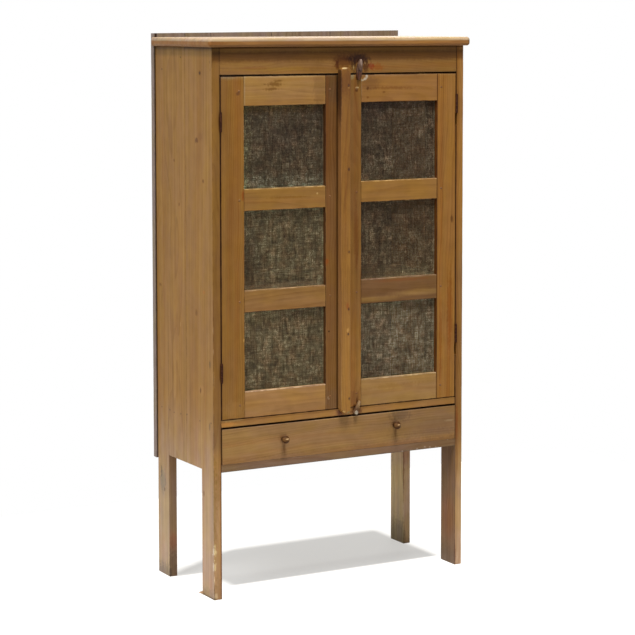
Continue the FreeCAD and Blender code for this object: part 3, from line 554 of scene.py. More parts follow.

# -------------------------------------------
# Doors. Stiles and rails are pegged mortise-and-tenon frames. The stile beside the strip is
# darkened, partly grime and partly the strip's painted shadow; each upper arris is painted paler,
# partly a highlight and partly worn varnish; the meeting stiles are painted darker up top and
# lighter low down as painted light; the openings' walls and the gaps carry painted shade.
# -------------------------------------------

DOOR_FRONT = {"left": FRONT, "right": FRONT - 0.0003}
door_tones = {
    "left": {"hinge_stile": (0.219, 0.104, 0.0228), "meeting_stile": (0.158, 0.073, 0.0195),
             "bottom_rail": (0.291, 0.15, 0.048), "lower_mid_rail": (0.237, 0.12, 0.0355),
             "upper_mid_rail": (0.237, 0.117, 0.028), "top_rail": (0.278, 0.146, 0.0435)},
    "right": {"hinge_stile": (0.255, 0.117, 0.0247), "meeting_stile": (0.211, 0.1, 0.0245),
              "bottom_rail": (0.285, 0.156, 0.05), "lower_mid_rail": (0.145, 0.0703, 0.0235),
              "upper_mid_rail": (0.252, 0.1215, 0.028), "top_rail": (0.245, 0.112, 0.029)},
}
door_marks = {
    "left_door_top_rail": [
        (-0.229, 1.512, 0.03, 0.008, (0.62, 0.55, 0.44), 2.2),
        (-0.238, 1.498, 0.034, 0.005, (0.62, 0.55, 0.44), 2.2),
        (-0.215, 1.522, 0.016, 0.005, (0.66, 0.6, 0.48), 1.8),
        (-0.075, 1.5, 0.03, 0.08, (0.8, 0.78, 0.84), 1.4)],
    "left_door_hinge_stile": [
        (-0.3296, 0.763, 0.004, 0.007, (1.9, 2.4, 3.6), 0.6),
        (-0.3467, 1.4867, 0.008, 0.007, (0.62, 0.6, 0.85), 1.0),
        (-0.366, 0.56, 0.045, 0.034, (1.14, 1.2, 1.4), 1.2),
        (-0.33, 1.19, 0.01, 0.02, (0.95, 0.62, 0.5), 1.0)],
    "left_door_meeting_stile": [
        (-0.0446, 0.769, 0.0035, 0.004, (0.22, 0.25, 0.3), 0.4),
        (-0.0481, 0.57, 0.003, 0.004, (1.7, 2.2, 3.4), 1.2),
        (-0.045, 0.565, 0.004, 0.003, (1.6, 2.0, 3.0), 1.2),
        (-0.032, 0.56, 0.032, 0.05, (0.92, 0.98, 1.45), 1.0),
        (-0.02, 1.5, 0.04, 0.06, (0.86, 0.95, 1.3), 1.0),
        # A dark line beside the strip: the strip's painted shadow, with some grime.
        (-0.014, 1.48, 0.006, 0.08, (0.35, 0.3, 0.26), 0.4),
        (-0.052, 0.98, 0.008, 0.012, (1.2, 0.8, 0.6), 1.0)],
    "left_door_upper_mid_rail": [
        (-0.0839, 1.186, 0.004, 0.004, (1.6, 2.0, 2.7), 0.8),
        (-0.18, 1.178, 0.08, 0.004, (0.86, 0.8, 0.62), 1.6)],
    "left_door_bottom_rail": [(-0.19, 0.57, 0.12, 0.02, (1.05, 1.05, 1.0), 1.0)],
    "right_door_top_rail": [
        (0.0895, 1.494, 0.005, 0.008, (0.52, 0.42, 0.36), 0.9),
        (0.0895, 1.468, 0.006, 0.004, (0.7, 0.56, 0.42), 0.9),
        (0.0682, 1.5, 0.0024, 0.034, (1.3, 1.55, 2.2), 0.5),
        (0.1462, 1.483, 0.006, 0.004, (0.7, 0.62, 0.55), 0.9),
        (0.17, 1.495, 0.09, 0.005, (0.84, 0.76, 0.7), 2.4),
        (0.0715, 1.5195, 0.007, 0.0035, (1.9, 3.1, 6.6), 0.6),
        (0.08, 1.5235, 0.007, 0.005, (2.1, 3.7, 9.0), 0.6),
        (0.086, 1.531, 0.006, 0.007, (1.9, 3.3, 7.6), 0.6),
        (0.1, 1.51, 0.04, 0.03, (0.8, 0.78, 0.9), 1.0)],
    "right_door_meeting_stile": [
        (0.036, 1.53, 0.01, 0.01, (1.15, 1.6, 2.8), 1.4),
        (0.053, 1.4978, 0.007, 0.0035, (2.5, 4.0, 8.4), 1.0),
        (0.0505, 1.489, 0.007, 0.006, (0.5, 0.42, 0.36), 0.8),
        # These two are the lower turn button's painted shadow.
        (0.053, 0.55, 0.004, 0.012, (0.5, 0.42, 0.34), 0.8),
        (0.044, 0.536, 0.007, 0.006, (0.42, 0.33, 0.27), 0.8),
        (0.04, 0.56, 0.024, 0.03, (0.82, 0.8, 0.92), 1.4),
        (0.05, 1.05, 0.01, 0.12, (0.8, 0.66, 0.56), 0.9)],
    "right_door_hinge_stile": [
        (0.3918, 1.0885, 0.007, 0.014, (0.5, 0.44, 0.4), 0.9),
        (0.385, 0.8, 0.012, 0.15, (0.9, 0.72, 0.54), 1.2),
        (0.352, 0.7, 0.006, 0.2, (0.92, 0.78, 0.64), 1.2)],
    "right_door_lower_mid_rail": [
        (0.11, 0.857, 0.12, 0.009, (1.5, 1.65, 1.5), 0.3),
        (0.27, 0.868, 0.12, 0.013, (1.5, 1.65, 1.5), 0.3),
        (0.21, 0.91, 0.12, 0.006, (1.1, 0.9, 0.82), 1.2)],
    "right_door_bottom_rail": [(0.2, 0.585, 0.12, 0.008, (0.92, 0.88, 0.84), 2.2)],
}
left_hinge, right_hinge, left_meeting = (
    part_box(f"{stile}_stile") for stile in ("left_door_hinge", "right_door_hinge", "left_door_meeting"))
door_washes = {
    "left_door_hinge_stile": [("x", left_hinge[0].x + 0.0008, left_hinge[0].x + 0.003, GAP_SHADE_AND_GRIME)],
    "left_door_top_rail": [("x", left_hinge[1].x + 0.002, left_hinge[1].x + 0.006, (1.03, 1.18, 1.7))],
    # The first wash darkens the stile's wall facing the openings: painted shade of the recess, with some
    # dirt. The second is the strip's painted shadow, with some grime. The third darkens the stile towards
    # the top, painted shade.
    "left_door_meeting_stile": [
        ("x", left_meeting[0].x + 0.0004, left_meeting[0].x + 0.0018, (0.42, 0.36, 0.3)),
        ("x", -0.0175, -0.0215, (0.42, 0.4, 0.3)), ("z", 1.3, 1.18, (0.84, 0.78, 0.68))],
    # Painted light: the meeting stile is lighter low down.
    "right_door_meeting_stile": [("z", 0.6, 0.95, (1.2, 1.22, 1.12))],
    "right_door_hinge_stile": [
        # The first wash darkens the stile's wall facing the openings: painted shade of the recess, with
        # some dirt.
        ("x", right_hinge[0].x + 0.0018, right_hinge[0].x + 0.0045, (0.36, 0.27, 0.2)),
        ("x", right_hinge[1].x - 0.0008, right_hinge[1].x - 0.003, GAP_SHADE_AND_GRIME)],
}
for side, parts in door_tones.items():
    for part, tone in parts.items():
        node = f"{side}_door_{part}"
        low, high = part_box(node)
        upright = "stile" in part
        at_top = upright or part == "top_rail"
        marks = on_front(door_marks.get(node, []))
        if node == "left_door_hinge_stile":
            bare_head = on_front([(-0.3665, 1.5365, 0.06, 0.013, (1.08, 1.28, 1.9), 0.8)], deep=0.008)
            marks += hinge_halos + bare_head
        # A paler band along each part's upper arris: partly painted highlight, partly worn varnish.
        if upright:
            reach, tint = (0.1, 0.012, 0.007), (1.1, 1.25, 1.7)
        elif at_top:
            reach, tint = (0.3, 0.012, 0.0065), (1.2, 1.4, 2.0)
        else:
            reach, tint = (0.4, 0.01, 0.0032), (1.7, 2.2, 3.8)
        marks += [(((low.x + high.x) / 2, DOOR_FRONT[side], high.z), reach, tint, 0.7 if at_top else 0.6)]
        washes = [*door_washes.get(node, ())]
        # The door's top edge is darkened: painted shade of the gap above the door.
        if at_top:
            washes.append(("z", high.z - 0.0002, high.z - 0.001, (0.15, 0.12, 0.1)))
        board(node, tone, "z" if upright else "x", marks=marks, edge=(0.0014, (0.36, 0.28, 0.24)),
              redness=0.6 if upright else 0.25, heart=0.04 if upright else 0.07,
              rings=0.12 if upright else 0.08, ring_gap=0.007 if upright else 0.01, washes=washes)
    board(f"{side}_door_screen_beads", INSIDE_TONE, "z", slot="bare_pine")

# -------------------------------------------
# Screens. Each opening holds a sheet of plain-woven wire, tinned once and now dull, with dust
# and old varnish along its borders; warp and weft pass over and under each other.
# -------------------------------------------

WIRE_PITCH = 0.00254
REBATE = 0.01
GEOMETRY = "GeometryNodeTree"


def hand_out(made, geometry, finish):
    """Make real what a geometry tree has put together, give it its finish and hand it out."""
    whole = work_out(geometry.tree, "GeometryNodeRealizeInstances", {"Geometry": geometry})
    feed(made, {0: work_out(geometry.tree, "GeometryNodeSetMaterial",
                            {"Geometry": whole, "Material": finish})})


def make_weave():
    """A flat screen, woven of wires at a pitch, that slackens a little over its middle."""
    given, made = new_group(
        "woven_screen",
        {"Centre": "Vector", "Width": "Float", "Height": "Float", "Pitch": "Float",
         "Wire": "Float", "Slack": "Float", "Lot": "Float", "Finish": "Material"},
        {"Screen": "Geometry"}, GEOMETRY)
    wire = given["Wire"]
    tree = wire.tree
    spans = [given[name] - wire for name in ("Width", "Height")]
    counts = [(span / given["Pitch"]).reckon("ROUND") for span in spans]
    grid = work_out(tree, "GeometryNodeMeshGrid",
                    {0: spans[0], 1: spans[1], 2: counts[0] + 1.0, 3: counts[1] + 1.0})
    knot = work_out(tree, "GeometryNodeInputPosition")
    steps = [((way / span + 0.5) * count).reckon("ROUND")
             for way, span, count in zip(split_ways(knot), spans, counts)]
    over = ((steps[0] + steps[1]).reckon("FLOORED_MODULO", 2.0) - 0.5) * wire
    waver = cloud(knot + join_ways(tree, z=given["Lot"]), (13.0, 13.0, 13.0), 2.0, "Color")
    slack = (waver - (0.5, 0.5, 0.5)) * given["Slack"]
    ends = tree.nodes.new("GeometryNodeInputMeshEdgeVertices").outputs
    run = (Worked(ends["Position 1"]) - Worked(ends["Position 2"])).reckon("ABSOLUTE")
    across, up, _ = split_ways(run)
    section = work_out(tree, "GeometryNodeCurvePrimitiveCircle",
                       {"Resolution": 3, "Radius": wire * 0.58}, mode="RADIUS")
    joined = tree.nodes.new("GeometryNodeJoinGeometry")
    for unwanted, side in ((across.reckon("GREATER_THAN", up), 1.0),
                           (up.reckon("GREATER_THAN", across), -1.0)):
        threads = work_out(tree, "GeometryNodeDeleteGeometry",
                           {"Geometry": grid, "Selection": unwanted}, domain="EDGE", mode="EDGE_FACE")
        threads = work_out(tree, "GeometryNodeSetPosition",
                           {"Geometry": threads, "Offset": join_ways(tree, z=over * side) + slack})
        threads = work_out(tree, "GeometryNodeMeshToCurve", {"Mesh": threads})
        feed(joined, {0: work_out(tree, "GeometryNodeCurveToMesh",
                                  {"Curve": threads, "Profile Curve": section, "Fill Caps": True})})
    stood = work_out(tree, "GeometryNodeTransform",
                     {"Geometry": Worked(joined.outputs[0]), "Translation": given["Centre"],
                      "Rotation": (math.pi / 2, 0.0, 0.0)})
    hand_out(made, work_out(tree, "GeometryNodeSetShadeSmooth", {"Geometry": stood}), given["Finish"])
    return tree


def grown(tree, name, start=None, **sizes):
    """The plain mesh that a tree makes with the given sizes, from a starting mesh if it has one."""
    seedling = bpy.data.objects.new(name, start or bpy.data.meshes.new(name))
    bpy.context.scene.collection.objects.link(seedling)
    modifier = seedling.modifiers.new(name, "NODES")
    modifier.node_group = tree
    sockets = {item.name: item.identifier for item in tree.interface.items_tree
               if item.in_out == "INPUT"}
    for size, value in sizes.items():
        modifier[sockets[size.capitalize()]] = value
    result = seedling.evaluated_get(bpy.context.evaluated_depsgraph_get())
    mesh = bpy.data.meshes.new_from_object(result)
    seedling.modifiers.clear()
    bpy.data.objects.remove(seedling)
    return mesh


def wire_finish(node, tone, head, specks, stains):
    """Dull wire, clouded with dust and specks, with painted light under the top rail to lift its shadow,
    and residue at its border.
    """
    low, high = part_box(node)
    material, shader, point = start_material(f"{node}_wire")
    # Painted light: the wire is lifted near the top of the opening, where the rail's shadow falls.
    shade = rise(split_ways(point)[2], high.z - 0.045, high.z - REBATE, 1.0, head)
    for stretch, detail, spread in (
            ((330.0, 1.0, 24.0), 2.0, 0.3), ((24.0, 1.0, 300.0), 2.0, 0.3),
            ((26.0, 1.0, 20.0), 4.0, 0.26), ((90.0, 1.0, 70.0), 2.0, 0.28),
            ((260.0, 1.0, 230.0), 2.0, specks)):
        layer = cloud(point, stretch, detail)
        shade = shade * rise(layer, 0.34, 0.68, 1.0 - spread, 1.0 + 1.25 * spread)
    colour = join_ways(point.tree, shade, shade, shade) * tone
    colour = tinted(rise(shade, 1.0, 1.9), colour, (0.94, 1.0, 1.12))
    rust = rise(cloud(point, (45.0, 1.0, 38.0), 4.0), 0.4, 0.66)
    colour = lay_over(rust, colour * (0.97, 1.03, 1.05), colour * (1.04, 0.94, 0.9))
    inset = Vector((REBATE, 0.0, REBATE))
    border = near_arris(point, low + inset, high - inset, 0.007) * 0.7
    colour = tinted(border, colour, (1.0, 1.2, 1.25))
    size = high - low
    colour = stained(point, colour, on_front(
        [(low.x + across * size.x, low.z + up * size.z, wide * size.x, tall * size.z, tint, 1.4)
         for across, up, wide, tall, tint in stains], 0.01, low.y))
    feed(shader, {"Base Color": colour, "Roughness": 0.6, "Specular IOR Level": 0.3})
    return material


woven_screen = make_weave()
screens = {
    "left_door_upper_screen": ((0.184, 0.131, 0.071), 0.5, [
        (0.02, 0.4, 0.12, 1.2, (1.65, 1.9, 1.7)), (0.45, 0.05, 1.0, 0.17, (1.55, 1.8, 2.0)),
        (0.5, 0.98, 1.0, 0.12, (1.02, 0.9, 0.6)),
        (0.85, 0.85, 0.35, 0.25, (0.78, 0.75, 0.78)), (0.5, 0.6, 0.34, 0.2, (0.84, 0.8, 0.84))]),
    "left_door_middle_screen": ((0.266, 0.199, 0.1), 0.36, [
        (0.12, 0.4, 0.16, 0.4, (0.66, 0.64, 0.64)), (0.5, 0.03, 1.0, 0.12, (0.7, 0.76, 0.82))]),
    "left_door_lower_screen": ((0.296, 0.218, 0.11), 0.27, [
        (0.2, 0.95, 0.35, 0.18, (1.25, 1.25, 1.2)), (0.8, 0.5, 0.25, 0.3, (0.85, 0.85, 0.85))]),
    "right_door_upper_screen": ((0.187, 0.127, 0.071), 0.58, [
        (0.5, 0.98, 0.9, 0.12, (0.84, 0.78, 0.84)),
        (0.15, 0.9, 0.34, 0.22, (0.66, 0.64, 0.68)), (0.2, 0.1, 0.45, 0.22, (1.25, 1.3, 1.3))]),
    "right_door_middle_screen": ((0.184, 0.124, 0.063), 0.58, [
        (0.5, 0.88, 0.9, 0.34, (0.82, 0.8, 0.82)), (0.65, 0.06, 0.6, 0.17, (1.4, 1.5, 1.5))]),
    "right_door_lower_screen": ((0.304, 0.227, 0.131), 0.26, [
        (0.3, 0.92, 0.45, 0.16, (1.22, 1.22, 1.15)), (0.3, 0.1, 0.45, 0.13, (0.86, 0.84, 0.84))]),
}
for number, (node, (tone, specks, stains)) in enumerate(screens.items()):
    low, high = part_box(node)
    # The fourth argument is the painted light under the top rail.
    finish = wire_finish(node, tone, 1.75 if "left" in node else 1.35, specks, stains)
    screen = grown(woven_screen, f"{node}_wires", centre=(low + high) / 2, width=high.x - low.x,
                   height=high.z - low.z, pitch=WIRE_PITCH, wire=(high.y - low.y) / 2,
                   slack=0.0011, lot=7.0 * number, finish=finish)
    place(screen, f"{node}_wires", body_of_node[node], finish, "wire_screen", node)

# -------------------------------------------
# Pegs. Oak pegs, driven through the joints of the doors and cut off at the face, lock them; they
# have darkened more than the pine round them.
# -------------------------------------------


def smoothed(node):
    """The node's own shape, with its curves shaded smooth."""
    return finish_mesh(merged(node), f"{node}_smoothed", 0.9998, 1.5e-4)


def rounded_piece(node, tone, slot, along="z", **finish):
    """A turned, whittled or rounded wooden piece in its worn state."""
    material = pine(node, tone, along, **finish)
    place(smoothed(node), f"{node}_worn", body_of_node[node], material, slot, node)


for side in ("left", "right"):
    rounded_piece(f"{side}_door_pegs", (0.19, 0.09, 0.035), "dark_peg", "y", redness=0.6)

# -------------------------------------------
# Meeting strip. A planed lath nailed on the right door covers the gap between the doors; its
# arris is rounded by hands. It is painted lighter low down and darker up top as painted light and
# shade, with a painted highlight on its rounded top and painted shade down its left side.
# -------------------------------------------

STRIP_FRONT = FRONT - 0.0203
strip_nails = [(0.0121, 1.5054), (0.0128, 1.2556), (0.0134, 1.0077), (0.0124, 0.8346),
               (0.0105, 0.7594), (0.014, 0.5634)]
strip_marks = on_front(
    [(*nail, 0.0045, 0.007, (0.45, 0.34, 0.28), 0.8) for nail in strip_nails]
    + [(0.013, 1.4985, 0.005, 0.003, (1.7, 2.2, 3.4), 0.8),
       (-0.007, 0.525, 0.01, 0.0035, (1.6, 2.0, 3.4), 0.4),
       (0.0, 1.1, 0.004, 0.3, (0.86, 0.78, 0.66), 1.6)], level=STRIP_FRONT)
strip_marks += on_front([
    (0.009, 0.77, 0.005, 0.01, (1.5, 1.7, 2.2), 1.6),
    (0.013, 0.521, 0.009, 0.0045, (0.7, 1.05, 2.0), 0.8)], 0.008, STRIP_FRONT)
strip_marks += on_front([
    (0.004, 1.515, 0.03, 0.055, (0.74, 0.66, 0.6), 1.0),
    # Painted highlight on the rounded top.
    (-0.001, 1.5565, 0.01, 0.0035, (2.7, 4.6, 13.0), 0.8),
    (0.008, 0.845, 0.007, 0.014, (1.0, 0.74, 0.66), 0.8),
    (0.004, 0.68, 0.016, 0.13, (1.08, 1.1, 1.05), 0.8)], 0.012, STRIP_FRONT)
# Painted shade down the strip's left side near the top, and painted light on its lower left arris.
strip_marks += [((-0.013, STRIP_FRONT + 0.01, 1.49), (0.004, 0.02, 0.13), (0.42, 0.38, 0.38), 0.8),
                ((-0.013, STRIP_FRONT, 0.6), (0.003, 0.004, 0.09), (1.25, 1.35, 1.7), 1.0)]
strip_side = ("x", -0.0126, -0.0118)
rounded_piece("meeting_strip", (0.203, 0.0864, 0.0146), "finished_pine", redness=0.6,
              marks=strip_marks, heart=0.03, gloss=0.25, rings=0.12,
              # Painted light and shade: the strip is lighter low down; its left side is painted darker,
              # and lighter again below.
              washes=[("z", 0.52, 1.54, (1.3, 1.42, 1.45)), (*strip_side, (0.66, 0.65, 0.78)),
                      (*strip_side, (1.42, 1.5, 2.2), "z", 1.36, 1.5)])

# -------------------------------------------
# Turn buttons. Two whittled slips of hardwood on round-headed screws hold the right door shut;
# the upper one is painted pale on its upper part, partly a highlight and partly weathering, with painted
# shade below and to its left.
# the upper one is worn pale where fingers turn it.
# -------------------------------------------

BUTTON_FRONT = FRONT - 0.0096
top_button_marks = [
    # Painted highlight on the upper part, with some weathering.
    ((0.0618, BUTTON_FRONT, 1.575), (0.005, 0.006, 0.015), (2.5, 3.3, 4.4), 0.8),
    # Darker, redder lower part: partly painted shade, partly the wood's own colour.
    ((0.0545, BUTTON_FRONT, 1.528), (0.02, 0.014, 0.026), (0.72, 0.42, 0.28), 0.6),
    # Painted shade down the left side.
    ((0.052, BUTTON_FRONT, 1.545), (0.004, 0.014, 0.03), (0.5, 0.4, 0.4), 0.6),
]
bottom_button_marks = on_front([
    (0.0555, 0.545, 0.004, 0.022, (1.25, 1.35, 1.45), 0.8),
    (0.046, 0.525, 0.012, 0.01, (0.55, 0.5, 0.5), 1.0)], 0.01, BUTTON_FRONT)
rounded_piece("top_turn_button", (0.105, 0.055, 0.032), "turned_wood", redness=0.3, gloss=0.25,
              marks=top_button_marks, rings=0.3)
rounded_piece("bottom_turn_button", (0.22, 0.126, 0.06), "turned_wood", redness=0.3, gloss=0.06,
              marks=bottom_button_marks, rings=0.3)

# -------------------------------------------
# Iron. Butt hinges with loose pins in the door gaps, and the screws of the turn buttons, all
# rusted brown-black, with bare metal only on the lower screw's head.
# -------------------------------------------


def iron(name, tone, rust_share=0.5, roughness=0.62, metal=0.4, gloss=0.4):
    """Old iron: dark scale, with rust that has bloomed over part of it."""
    material, shader, point = start_material(name)
    bloom = cloud(point, (190.0, 190.0, 190.0), 5.0)
    pits = cloud(point, (900.0, 900.0, 900.0), 3.0)
    share = rise(bloom, 0.42, 0.62) * rust_share
    colour = lay_over(share, (*tone, 1.0), (0.125, 0.046, 0.02, 1.0))
    feed(shader, {"Base Color": tinted(rise(pits, 0.45, 0.7), colour, (0.6, 0.6, 0.6)),
                  "Metallic": metal, "Specular IOR Level": gloss, "Roughness": roughness,
                  "Normal": bump(pits + bloom, 0.0003)})
    return material


hinge_iron = iron("hinge_iron", (0.03, 0.011, 0.007), 0.35, 0.85, 0.0, 0.05)
for side in ("left", "right"):
    for part in ("case_hinge_leaves", "hinge_pins", "door_hinge_leaves"):
        node = f"{side}_{part}"
        place(smoothed(node), f"{node}_rusted", body_of_node[node], hinge_iron, "rusted_iron", node)
screw_irons = {"top": iron("top_screw_iron", (0.07, 0.035, 0.028), 0.5),
               "bottom": iron("bottom_screw_iron", (0.34, 0.28, 0.2), 0.35, 0.45, 0.3)}
for end, finish in screw_irons.items():
    node = f"{end}_button_screw"
    place(smoothed(node), f"{node}_worn", body_of_node[node], finish, "rusted_iron", node)

# -------------------------------------------
# Drawer. A pine front with half-blind dovetails, thin bare sides and bottom, and two turned
# knobs with grease round them and a painted shadow running down the front below each; knobs
# and front carry painted highlights and the top edge painted shade.
# -------------------------------------------

KNOB_PLACES = {"left": (-0.2015, 0.4588), "right": (0.1855, 0.4648)}
drawer_marks = [
    # Painted highlight along the drawer front's top arris.
    (0.0, 0.505, 0.8, 0.003, (1.55, 1.75, 2.3), 0.5),
    (0.21, 0.492, 0.045, 0.022, (0.7, 0.72, 0.78), 1.6),
    (0.33, 0.425, 0.11, 0.02, (0.9, 0.88, 0.95), 1.4),
    (0.385, 0.46, 0.018, 0.004, (1.3, 1.5, 1.7), 1.6),
    (0.0, 0.404, 1.0, 0.01, (0.86, 0.82, 0.86), 1.4),
    (-0.3, 0.48, 0.14, 0.03, (1.05, 1.06, 1.05), 1.0),
    (0.3, 0.47, 0.2, 0.08, (0.86, 0.88, 0.94), 0.8)]
for x, z in KNOB_PLACES.values():
    # Round each knob a grease stain, and below it the knob's painted shadow.
    drawer_marks += [(x + 0.002, z, 0.018, 0.018, (0.72, 0.66, 0.66), 0.9),
                     (x + 0.004, z - 0.026, 0.005, 0.026, (0.7, 0.62, 0.56), 0.5)]
# The first wash darkens the front's top edge: painted shade of the gap above the drawer.
board("drawer_front", (0.252, 0.137, 0.049), "x", marks=on_front(drawer_marks, 0.008), rings=0.1,
      ease=0.0007, dent=0.0004, washes=[("z", 0.5048, 0.504, (0.15, 0.12, 0.1)),
                                        ("x", 0.41, 0.18, (0.9, 0.9, 0.92))])
for part, along in (("left_side", "y"), ("right_side", "y"), ("back", "x"), ("bottom", "x")):
    board(f"drawer_{part}", INSIDE_TONE, along, slot="bare_pine")
for side, (x, z) in KNOB_PLACES.items():
    # The first knob mark is a painted highlight on the cap; the second is grime at its base.
    knob_marks = [((x + 0.002, -0.2145, z + 0.003), (0.0075, 0.01, 0.0022), (4.0, 5.5, 8.5), 0.6),
                  ((x, -0.194, z), (0.014, 0.008, 0.014), (0.45, 0.4, 0.4), 0.6)]
    rounded_piece(f"{side}_knob", (0.128, 0.06, 0.019), "turned_wood", "y", redness=0.2,
                  marks=knob_marks, heart=0.004, ring_gap=0.0022, rings=0.25, gloss=0.06,
                  # The first wash darkens the knob's lower part: painted shade. The second is grease on
                  # its top.
                  roughness=0.45, washes=[("z", z - 0.005, z - 0.0015, (0.45, 0.36, 0.28)),
                                          ("z", z + 0.0085, z + 0.006, (0.5, 0.42, 0.36))])

# -------------------------------------------
# Nails and screws. Cut nails hold floor, top, back and strip, their heads driven a little under
# and gone dark; brads hold the beads, and three slotted screws each leaf of a hinge.
# -------------------------------------------


def new_fixing(name, *sizes):
    """A tree that drives a head in at each place, and the turn its attribute gives each head."""
    sockets = {"Places": "Geometry"} | dict.fromkeys(sizes, "Float") | {"Finish": "Material"}
    given, made = new_group(name, sockets, {"Heads": "Geometry"}, GEOMETRY)
    facing = work_out(made.id_data, "GeometryNodeInputNamedAttribute", {"Name": "facing"},
                      "Attribute", data_type="FLOAT_VECTOR")
    return given, made, work_out(facing.tree, "FunctionNodeEulerToRotation", {0: facing})


def uneven(tree, least, most, seed):
    """A random size or turn for each head, between two limits."""
    return work_out(tree, "FunctionNodeRandomValue", {"Min": least, "Max": most, "Seed": seed},
                    data_type="FLOAT_VECTOR")


def make_nailing():
    """Low domed heads, one at each point of the starting mesh."""
    given, made, facing = new_fixing("nail_heads", "Length", "Width", "Proud")
    tree = facing.tree
    head = work_out(tree, "GeometryNodeMeshUVSphere", {"Segments": 8, "Rings": 5, "Radius": 0.5})
    shape = join_ways(tree, given["Length"], given["Width"], given["Proud"] * 2.0)
    hand_out(made, work_out(
        tree, "GeometryNodeInstanceOnPoints",
        {"Points": given["Places"], "Instance": head, "Rotation": facing,
         "Scale": shape * uneven(tree, (0.82, 0.78, 0.9), (1.15, 1.2, 1.0), 5)}), given["Finish"])
    return tree


def make_screwing():
    """Flat heads with a slot, one at each point of the starting mesh."""
    given, made, facing = new_fixing("screw_heads", "Diameter", "Slot", "Proud")
    tree = facing.tree
    deep = given["Proud"] * 2.0
    disc = work_out(tree, "GeometryNodeMeshCylinder",
                    {"Vertices": 14, "Radius": given["Diameter"] * 0.5, "Depth": deep})
    cutter = work_out(tree, "GeometryNodeMeshCube",
                      {"Size": join_ways(tree, given["Diameter"], given["Slot"], deep)})
    cutter = work_out(tree, "GeometryNodeTransform", {"Geometry": cutter, "Scale": (1.2, 1.0, 1.2)})
    head = work_out(tree, "GeometryNodeMeshBoolean", {"Mesh 1": disc, "Mesh 2": cutter},
                    operation="DIFFERENCE")
    turned = work_out(tree, "FunctionNodeEulerToRotation",
                      {0: uneven(tree, (0.0, 0.0, -1.5), (0.0, 0.0, 1.5), 9)})
    turned = work_out(tree, "FunctionNodeRotateRotation", {0: facing, 1: turned},
                      rotation_space="LOCAL")
    hand_out(made, work_out(tree, "GeometryNodeInstanceOnPoints",
                            {"Points": given["Places"], "Instance": head, "Rotation": turned}),
             given["Finish"])
    return tree


nail_heads = make_nailing()
screw_heads = make_screwing()


def drive_in(heads, rows, name, body, finish, **sizes):
    """Put a head at each place of the rows, laid on the face that it is driven in."""
    mesh = bpy.data.meshes.new(f"{name}_places")
    mesh.from_pydata([where for where, _ in rows], [], [])
    facing = mesh.attributes.new("facing", "FLOAT_VECTOR", "POINT")
    for number, (_, outward) in enumerate(rows):
        out = Vector(outward)
        long_way = Vector((0, 0, 1)) if abs(out.z) < 0.5 else Vector((1, 0, 0))
        turn = Matrix((long_way, out.cross(long_way), out)).transposed()
        facing.data[number].vector = Vector(turn.to_euler())
    place(grown(heads, f"{name}_heads", mesh, finish=finish, **sizes), name, body, finish,
          "rusted_iron")


nail_iron = iron("nail_iron", (0.04, 0.026, 0.02), 0.4, 0.7, 0.2)
LEFT, RIGHT, AHEAD, BEHIND, UP = (-1, 0, 0), (1, 0, 0), (0, -1, 0), (0, 1, 0), (0, 0, 1)
side_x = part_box("right_front_side_plank")[1].x
top_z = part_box("top_board")[1].z
back_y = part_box("back_plank_1")[1].y
case_nails = [((-side_x, y, z), LEFT) for y, z in
              ((0.166, 0.519), (0.109, 0.519), (0.079, 0.516), (0.032, 0.519), (-0.01, 0.524),
               (-0.098, 0.519), (-0.172, 0.524), (-0.109, 1.546), (0.15, 1.552), (0.02, 1.59))]
case_nails += [((side_x, y, z), RIGHT) for y, z in
               ((0.16, 0.521), (0.095, 0.518), (0.03, 0.522), (-0.04, 0.519), (-0.105, 0.523),
                (-0.168, 0.519), (-0.12, 1.56), (0.13, 1.575))]
case_nails += [((side * 0.419, y, top_z), UP) for side in (-1, 1)
               for y in (-0.16, -0.085, -0.005, 0.08, 0.165)]
case_nails += [((x, -0.178, top_z), UP) for x in (-0.27, -0.02, 0.24)]
for number in range(1, 6):
    low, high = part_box(f"back_plank_{number}")
    case_nails += [((x, back_y, z + 0.003 * (number % 3)), BEHIND)
                   for x in (low.x + 0.02, high.x - 0.02) for z in (0.519, 0.899, 1.167, 1.6)]
drive_in(nail_heads, case_nails, "case_nails", "case", nail_iron,
         length=0.0058, width=0.004, proud=0.0004)

LEAF_HEIGHT = 0.057
PIN_OVER = 0.0015
hinge_screws = {"case": [], "left_door": [], "right_door": []}
for side, outward in (("left", -1), ("right", 1)):
    low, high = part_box(f"{side}_hinge_pins")
    axis_x = (low.x + high.x) / 2
    for foot in (low.z + PIN_OVER, high.z - PIN_OVER - LEAF_HEIGHT):
        for up, depth in ((0.009, -0.1805), (0.0285, -0.1845), (0.048, -0.1805)):
            for body, way in (("case", outward), (f"{side}_door", -outward)):
                hinge_screws[body].append(((axis_x + way * 0.0001, depth, foot + up), (-way, 0, 0)))
screw_iron = iron("leaf_screw_iron", (0.085, 0.062, 0.052), 0.5, 0.5)
for body, rows in hinge_screws.items():
    drive_in(screw_heads, rows, f"{body}_hinge_screws", body, screw_iron,
             diameter=0.0062, slot=0.0009, proud=0.00007)

